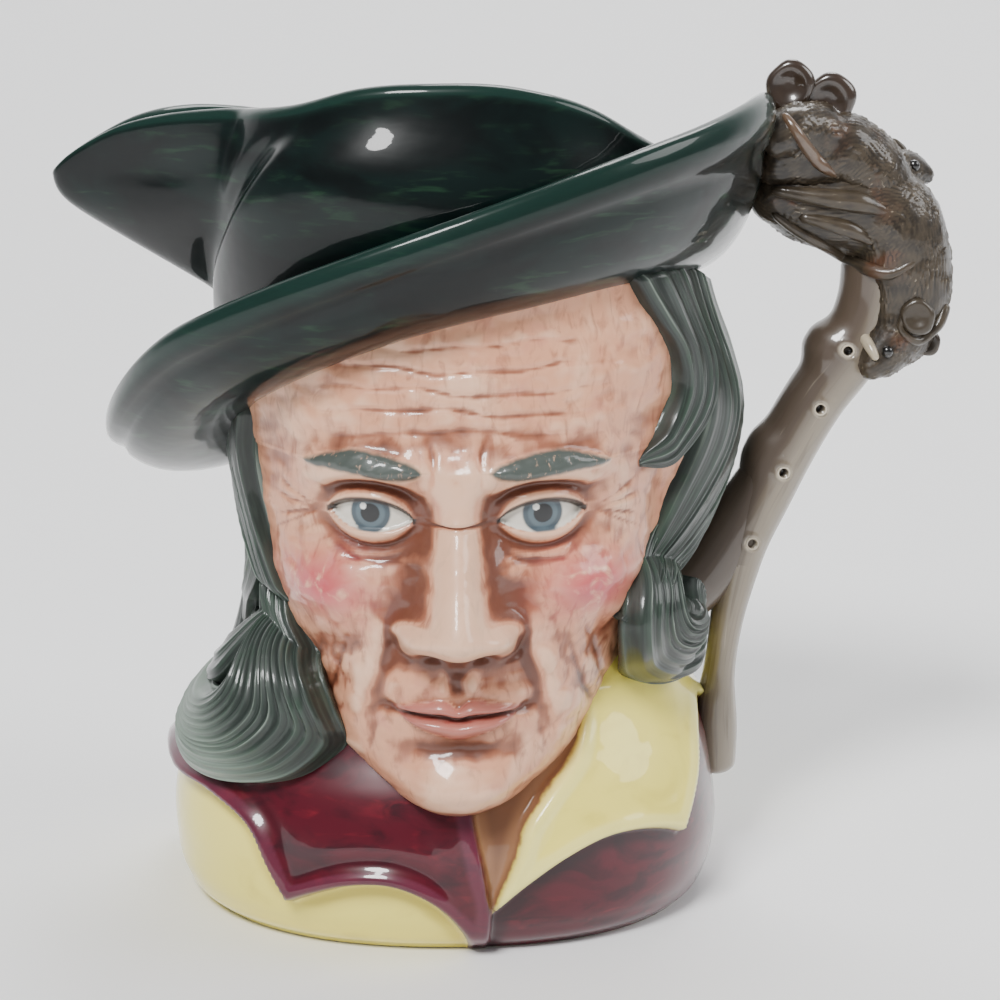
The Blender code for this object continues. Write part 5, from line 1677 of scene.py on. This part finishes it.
@dataclass
class Animal:
    """One small round-eared furry animal: its trunk and head as chains of balls, and its ears."""

    name: str
    trunk: tuple
    head: tuple
    ears: tuple
    eyes: tuple = ()
    comb: float = 1.05

    def chain(self, links: tuple) -> np.ndarray:
        """Closely spaced balls along a chain, each row a middle and a radius."""
        rows = np.array([(*p, r) for p, r in links], float)
        return line_through(rows, max(8, 6 * len(rows)), (1, 1, 1, 0))

    def build(self, paint: bpy.types.Material) -> bpy.types.Object:
        """Melts the balls into one skin and combs the fur into it.

        Args:
            paint: the fur's material.

        Returns:
            The piece.
        """
        balls = [self.chain(self.trunk), self.chain(self.head)]
        shape = bmesh.new()
        for row in np.vstack(balls):
            made = bmesh.ops.create_uvsphere(shape, u_segments=20, v_segments=12, radius=float(row[3]) * MM)
            bmesh.ops.translate(shape, verts=made["verts"], vec=[float(c) * MM for c in row[:3]])
        mesh = bpy.data.meshes.new(self.name)
        shape.to_mesh(mesh)
        shape.free()
        lump = bpy.data.objects.new(self.name + "_lump", mesh)
        bpy.context.scene.collection.objects.link(lump)
        remesh = lump.modifiers.new("melt", "REMESH")
        remesh.mode = "VOXEL"
        remesh.voxel_size = 0.55 * MM
        soften = lump.modifiers.new("soften", "SMOOTH")
        soften.factor = 0.5
        soften.iterations = 12
        bpy.context.view_layer.update()
        graph = bpy.context.evaluated_depsgraph_get()
        skin = bpy.data.meshes.new_from_object(lump.evaluated_get(graph))
        bpy.data.objects.remove(lump)
        count = len(skin.vertices)
        points = np.empty(count * 3)
        skin.vertices.foreach_get("co", points)
        points = points.reshape(-1, 3) / MM
        normals = np.empty(count * 3)
        skin.vertices.foreach_get("normal", normals)
        normals = normals.reshape(-1, 3)
        axis = np.vstack(balls)
        tangent = np.vstack([np.gradient(chain[:, :3], axis=0) for chain in balls])
        tangent /= np.linalg.norm(tangent, axis=1)[:, None]
        length = np.concatenate([np.cumsum(np.linalg.norm(np.gradient(c[:, :3], axis=0), axis=1))
                                 for c in balls])
        gap = np.linalg.norm(points[:, None, :] - axis[None, :, :3], axis=2) - axis[None, :, 3]
        nearest = gap.argmin(axis=1)
        along_dir, centre, radius = tangent[nearest], axis[nearest, :3], axis[nearest, 3]
        offset = points - centre
        along = length[nearest] + (offset * along_dir).sum(axis=1)
        side = np.cross(along_dir, (0.3, 0.2, 1.0))
        side /= np.linalg.norm(side, axis=1)[:, None]
        up = np.cross(side, along_dir)
        around = np.arctan2((offset * up).sum(axis=1), (offset * side).sum(axis=1)) * radius
        broad = np.array([noise.noise(Vector(p / 6.5)) for p in points])
        small = np.array([noise.noise(Vector(p / 2.2)) for p in points])
        wave = around / self.comb + 0.9 * broad + 0.3 * small + 0.35 * np.sin(along / 4.5 + broad * 2)
        tuft = 0.6 + 0.4 * np.sin(along / 2.8 + 3 * broad + 1.6 * np.sin(wave * 0.7))
        ridge = (1 - np.abs(np.sin(math.pi * wave)) ** 0.8) * tuft
        points = points + normals * ((ridge * 0.5 - 0.15 + 0.35 * broad)[:, None])
        skin.vertices.foreach_set("co", (points * MM).ravel())
        values = skin.attributes.new("crest", "FLOAT", "POINT")
        values.data.foreach_set("value", (0.25 + 0.85 * ridge + 0.25 * small).astype(np.float32))
        skin.shade_smooth()
        made = bpy.data.objects.new(self.name, skin)
        bpy.context.scene.collection.objects.link(made)
        return Piece(made, paint).hand_over()


@dataclass
class Beasts:
    """The three animals on the handle, with ears, eyes, paws and tails."""

    animals: tuple = (
        Animal("upper_animal",
               (((92, 9, 152), 7), ((88, 9, 155.5), 8.6), ((82, 8, 159.5), 8.6), ((76, 6, 158), 7.5),
                ((70, 5, 157), 6.2)),
               (((77, 5, 163), 7.2), ((71.5, 1, 164), 5.8), ((68, -3.5, 162.5), 3.2)),
               (((71.8, 7, 173.0), 5.4), ((80.2, 8, 169.8), 5.9)),
               ((70.0, -3.6, 165.6), (75.6, -1.4, 166.2))),
        Animal("middle_animal",
               (((70, 6, 150), 6.5), ((78, 8, 148), 9), ((87, 10, 147), 10.5), ((94.5, 10, 143.5), 11.2),
                ((97, 10, 135), 10.8)),
               (((93.5, 14, 152), 6.0), ((98.5, 17, 154), 4.4), ((103, 18, 153.2), 2.2)),
               (((93, 8, 156), 3.4), ((96, 20, 157.5), 3.2)),
               ((99.6, 13.0, 155.6),)),
        Animal("lower_animal",
               (((97.4, 10, 136), 10.6), ((97.8, 10, 128), 10.3), ((96, 9, 121), 8.8)),
               (((95.5, 7, 120), 7.4), ((92.5, 3.5, 116), 5.0), ((90, 0.5, 113.5), 2.5)),
               (((99.5, -0.5, 125), 3.8), ((102.5, 6, 118.5), 3.2)),
               ((93.2, -1.2, 117.6),)),
    )

    def ear(self, name: str, middle: Rows, size: float, paint: bpy.types.Material) -> bpy.types.Object:
        """Makes a round ear with a thick rim, dished towards the front."""
        rows, sides = 40, 56
        down, turn = np.meshgrid(np.linspace(0, math.pi, rows + 2)[1:-1],
                                 np.linspace(0, 2 * math.pi, sides, endpoint=False),
                                 indexing="ij")
        out = np.stack([np.sin(down) * np.cos(turn), -np.cos(down), np.sin(down) * np.sin(turn)], axis=-1)
        across = np.hypot(out[..., 0] + 0.08, out[..., 2] - 0.05)
        dish = 0.8 * np.exp(-((across / 0.62) ** 3)) * (out[..., 1] < 0)
        wobble = 1 + (0.06 * np.sin(2 * turn + size) + 0.03 * np.sin(5 * turn)) * np.sin(down) ** 4
        points = out * np.array((size, size * 0.5, size)) * wobble[..., None]
        points[..., 1] += dish * size * 0.5
        rings = points + np.asarray(middle, float)
        return Piece(MeshMaker.rings(name, rings, {"crest": 0.4 + 0 * turn}), paint).hand_over()

    def bead(self, name: str, middle: Rows, size: float, paint: bpy.types.Material) -> bpy.types.Object:
        """Makes a small dark eye."""
        rings = []
        turn = np.linspace(0, 2 * math.pi, 20, endpoint=False)
        for bend in np.linspace(-math.pi / 2, math.pi / 2, 14)[1:-1]:
            rings.append(np.stack([middle[0] + size * math.cos(bend) * np.cos(turn),
                                   np.full(20, middle[1] + size * 0.8 * math.sin(bend)),
                                   middle[2] + size * math.cos(bend) * np.sin(turn)], -1))
        return Piece(MeshMaker.rings(name, np.stack(rings), {}), paint).hand_over()

    def laid_on(self, line: np.ndarray) -> np.ndarray:
        """Moves a line to and fro so that it lies on the front of the animals."""
        balls = np.vstack([animal.chain(part) for animal in self.animals
                           for part in (animal.trunk, animal.head)])
        reach = balls[:, 3] ** 2 - (line[:, None, 0] - balls[:, 0]) ** 2 - (
            line[:, None, 2] - balls[:, 2]) ** 2
        front = np.where(reach > 0, balls[:, 1] - np.sqrt(np.maximum(reach, 0)), np.inf).min(axis=1)
        on = np.flatnonzero(np.isfinite(front))
        front = np.interp(np.arange(len(line)), on, front[on])
        for _ in range(6):
            front = np.convolve(np.pad(front, 2, mode="edge"), np.full(5, 0.2), mode="valid")
        return np.column_stack([line[:, 0], front, line[:, 2]])

    def limb(self, name: str, points: Rows, radii: Sequence[float],
             paint: bpy.types.Material) -> bpy.types.Object:
        """Makes a tail, a leg or a claw as a tapered tube."""
        rows = 14 * len(points)
        at = np.linspace(0, 1, rows)
        size = curve_through(np.column_stack([np.linspace(0, 1, len(radii)), radii]), at)[:, 0]
        line = self.laid_on(line_through(points, rows))
        line[:, 1] += 0.35 * size * (1 - step(at, 0, 0.3)) * 3
        close = np.clip(np.minimum(at, 1 - at) * rows / 5, 0, 1)
        size = size * np.sqrt(1 - (1 - close) ** 2 * 0.97)
        turn = np.linspace(0, 2 * math.pi, 28, endpoint=False)[None, :]
        comb = np.abs(np.sin(4 * turn + 1.2 * np.sin(at * 7)[:, None])) ** 0.7
        rings = MeshMaker.tube(line, size, size, np.array([0.1, 1, 0.1]), 28)
        rings = line[:, None, :] + (rings - line[:, None, :]) * (1.03 - 0.06 * comb)[..., None]
        crest = 0.85 - 0.45 * comb + 0.1 * np.sin(at * 30)[:, None]
        return Piece(MeshMaker.rings(name, rings, {"crest": crest}), paint).hand_over()

    def build(self) -> None:
        """Makes the animals."""
        fur = FurPaint().material()
        gloss = PlainPaint("brown_ear", "#35281e", "#1a120d", 0.02).material()
        black = PlainPaint("black_eye", "#0c0a09", "#15110f", 0.02).material()
        pale = PlainPaint("pale_claw", "#b3a68f", "#85775f").material()
        red = PlainPaint("russet_arm", "#64503f", "#453227", 0.09).material()
        for animal in self.animals:
            animal.build(fur)
            for side, (middle, size) in enumerate(animal.ears):
                self.ear(f"{animal.name}_ear_{side}", middle, size, gloss if size > 5 else fur)
            for side, middle in enumerate(animal.eyes):
                self.bead(f"{animal.name}_eye_{side}", middle, 1.3 if side == 0 else 1.2, black)
        tail = [(99, 2.0, 137), (93, -0.8, 134.2), (86, 0.0, 136), (80, 1.0, 139.5), (73, 1.0, 143.5),
                (68, 0.5, 147)]
        self.limb("middle_tail", tail, (0.8, 1.5, 1.5, 1.3, 1.2, 0.8), fur)
        self.limb("lower_tail", [(106.5, 6, 127), (104, 1.0, 122), (100, -1.0, 119.5), (96, -1.6, 122.5),
                                 (96.5, -2.2, 126)],
                  (1.4, 1.3, 1.1, 0.9, 0.6), fur)
        self.limb("upper_arm", [(82, 1, 154.5), (77.8, 0, 157.5), (74.3, 0, 161.5), (71.5, 0, 165.5),
                                (69.4, 0, 168.4)],
                  (0.6, 1.3, 1.4, 1.2, 0.8), red)
        self.limb("middle_leg", [(93, 0, 147), (86, 0, 149.4), (79, 0, 150.4), (73, 0, 151.2),
                                 (67.5, 0, 152.0)],
                  (0.8, 2.3, 2.2, 1.7, 1.0), fur)
        self.limb("middle_paw", [(90, 0, 140.5), (84.5, 0, 143.5), (79, 0, 145.2), (73.5, 0, 146.4)],
                  (0.8, 1.8, 1.6, 0.9), fur)
        self.limb("lower_claw", [(87.9, 1.4, 121.5), (89.3, 0.3, 119.0), (91.0, 0.3, 115.8)],
                  (1.2, 1.25, 0.8), pale)


@dataclass
class Studio:
    """The pale floor, the soft lights and the camera at the photograph's place."""

    target: tuple[float, float, float] = (10.5, 0.0, 84.75)
    distance: float = 560.0
    elevation: float = math.radians(14)
    lens: float = 92.83
    sensor: float = 36.0

    def floor(self) -> None:
        """Lays the floor and curves it up behind the jug."""
        shape = bmesh.new()
        profile = [(-3.0, 0.0), (0.7, 0.0)]
        profile += [(0.7 + 0.5 * math.sin(t), 0.5 - 0.5 * math.cos(t))
                    for t in np.linspace(0, math.pi / 2, 14)[1:]]
        profile.append((1.2, 2.5))
        rows = [[shape.verts.new((x, y, z)) for x in (-3.0, 3.0)] for y, z in profile]
        for (a, b), (c, d) in zip(rows[:-1], rows[1:]):
            shape.faces.new((a, b, d, c))
        mesh = bpy.data.meshes.new("floor")
        shape.to_mesh(mesh)
        shape.free()
        mesh.shade_smooth()
        made = bpy.data.objects.new("floor", mesh)
        bpy.context.scene.collection.objects.link(made)
        material = bpy.data.materials.new("pale_floor")
        material.use_nodes = True
        material.node_tree.nodes["Principled BSDF"].inputs["Base Color"].default_value = hue("#f3f3f3")
        material.node_tree.nodes["Principled BSDF"].inputs["Roughness"].default_value = 0.7
        mesh.materials.append(material)

    def light(self, name: str, where: Sequence[float], energy: float, size: float) -> None:
        """Hangs one soft light that looks at the jug."""
        data = bpy.data.lights.new(name, "AREA")
        data.energy = energy
        data.shape = "DISK"
        data.size = size
        made = bpy.data.objects.new(name, data)
        bpy.context.scene.collection.objects.link(made)
        made.location = where
        aim = Vector(self.target) * 0.001 - Vector(where)
        made.rotation_euler = aim.to_track_quat("-Z", "Y").to_euler()

    def build(self) -> None:
        """Sets up floor, lights, world and camera."""
        self.floor()
        self.light("key", (-0.6, -1.5, 1.85), 69, 0.74)
        self.light("window", (1.8, -0.35, 1.3), 22, 1.2)
        self.light("back", (0.3, 1.0, 1.7), 22, 0.9)
        world = bpy.data.worlds.new("studio")
        world.use_nodes = True
        world.node_tree.nodes["Background"].inputs["Color"].default_value = (0.82, 0.84, 0.88, 1)
        world.node_tree.nodes["Background"].inputs["Strength"].default_value = 0.28
        bpy.context.scene.world = world
        data = bpy.data.cameras.new("camera")
        data.lens = self.lens
        data.sensor_width = self.sensor
        data.clip_start = 0.01
        camera = bpy.data.objects.new("camera", data)
        bpy.context.scene.collection.objects.link(camera)
        back = Vector((0, -math.cos(self.elevation), math.sin(self.elevation)))
        camera.location = (Vector(self.target) + back * self.distance) * 0.001
        camera.rotation_euler = (-back).to_track_quat("-Z", "Y").to_euler()
        bpy.context.scene.camera = camera


def main() -> None:
    """Builds the pieces in order."""
    form = JugForm()
    Studio().build()
    Coat(form).build()
    Head(form).build()
    Hat(form).build()
    Hair(form).build()
    Handle().build()
    Beasts().build()


if __name__ == "__main__":
    main()
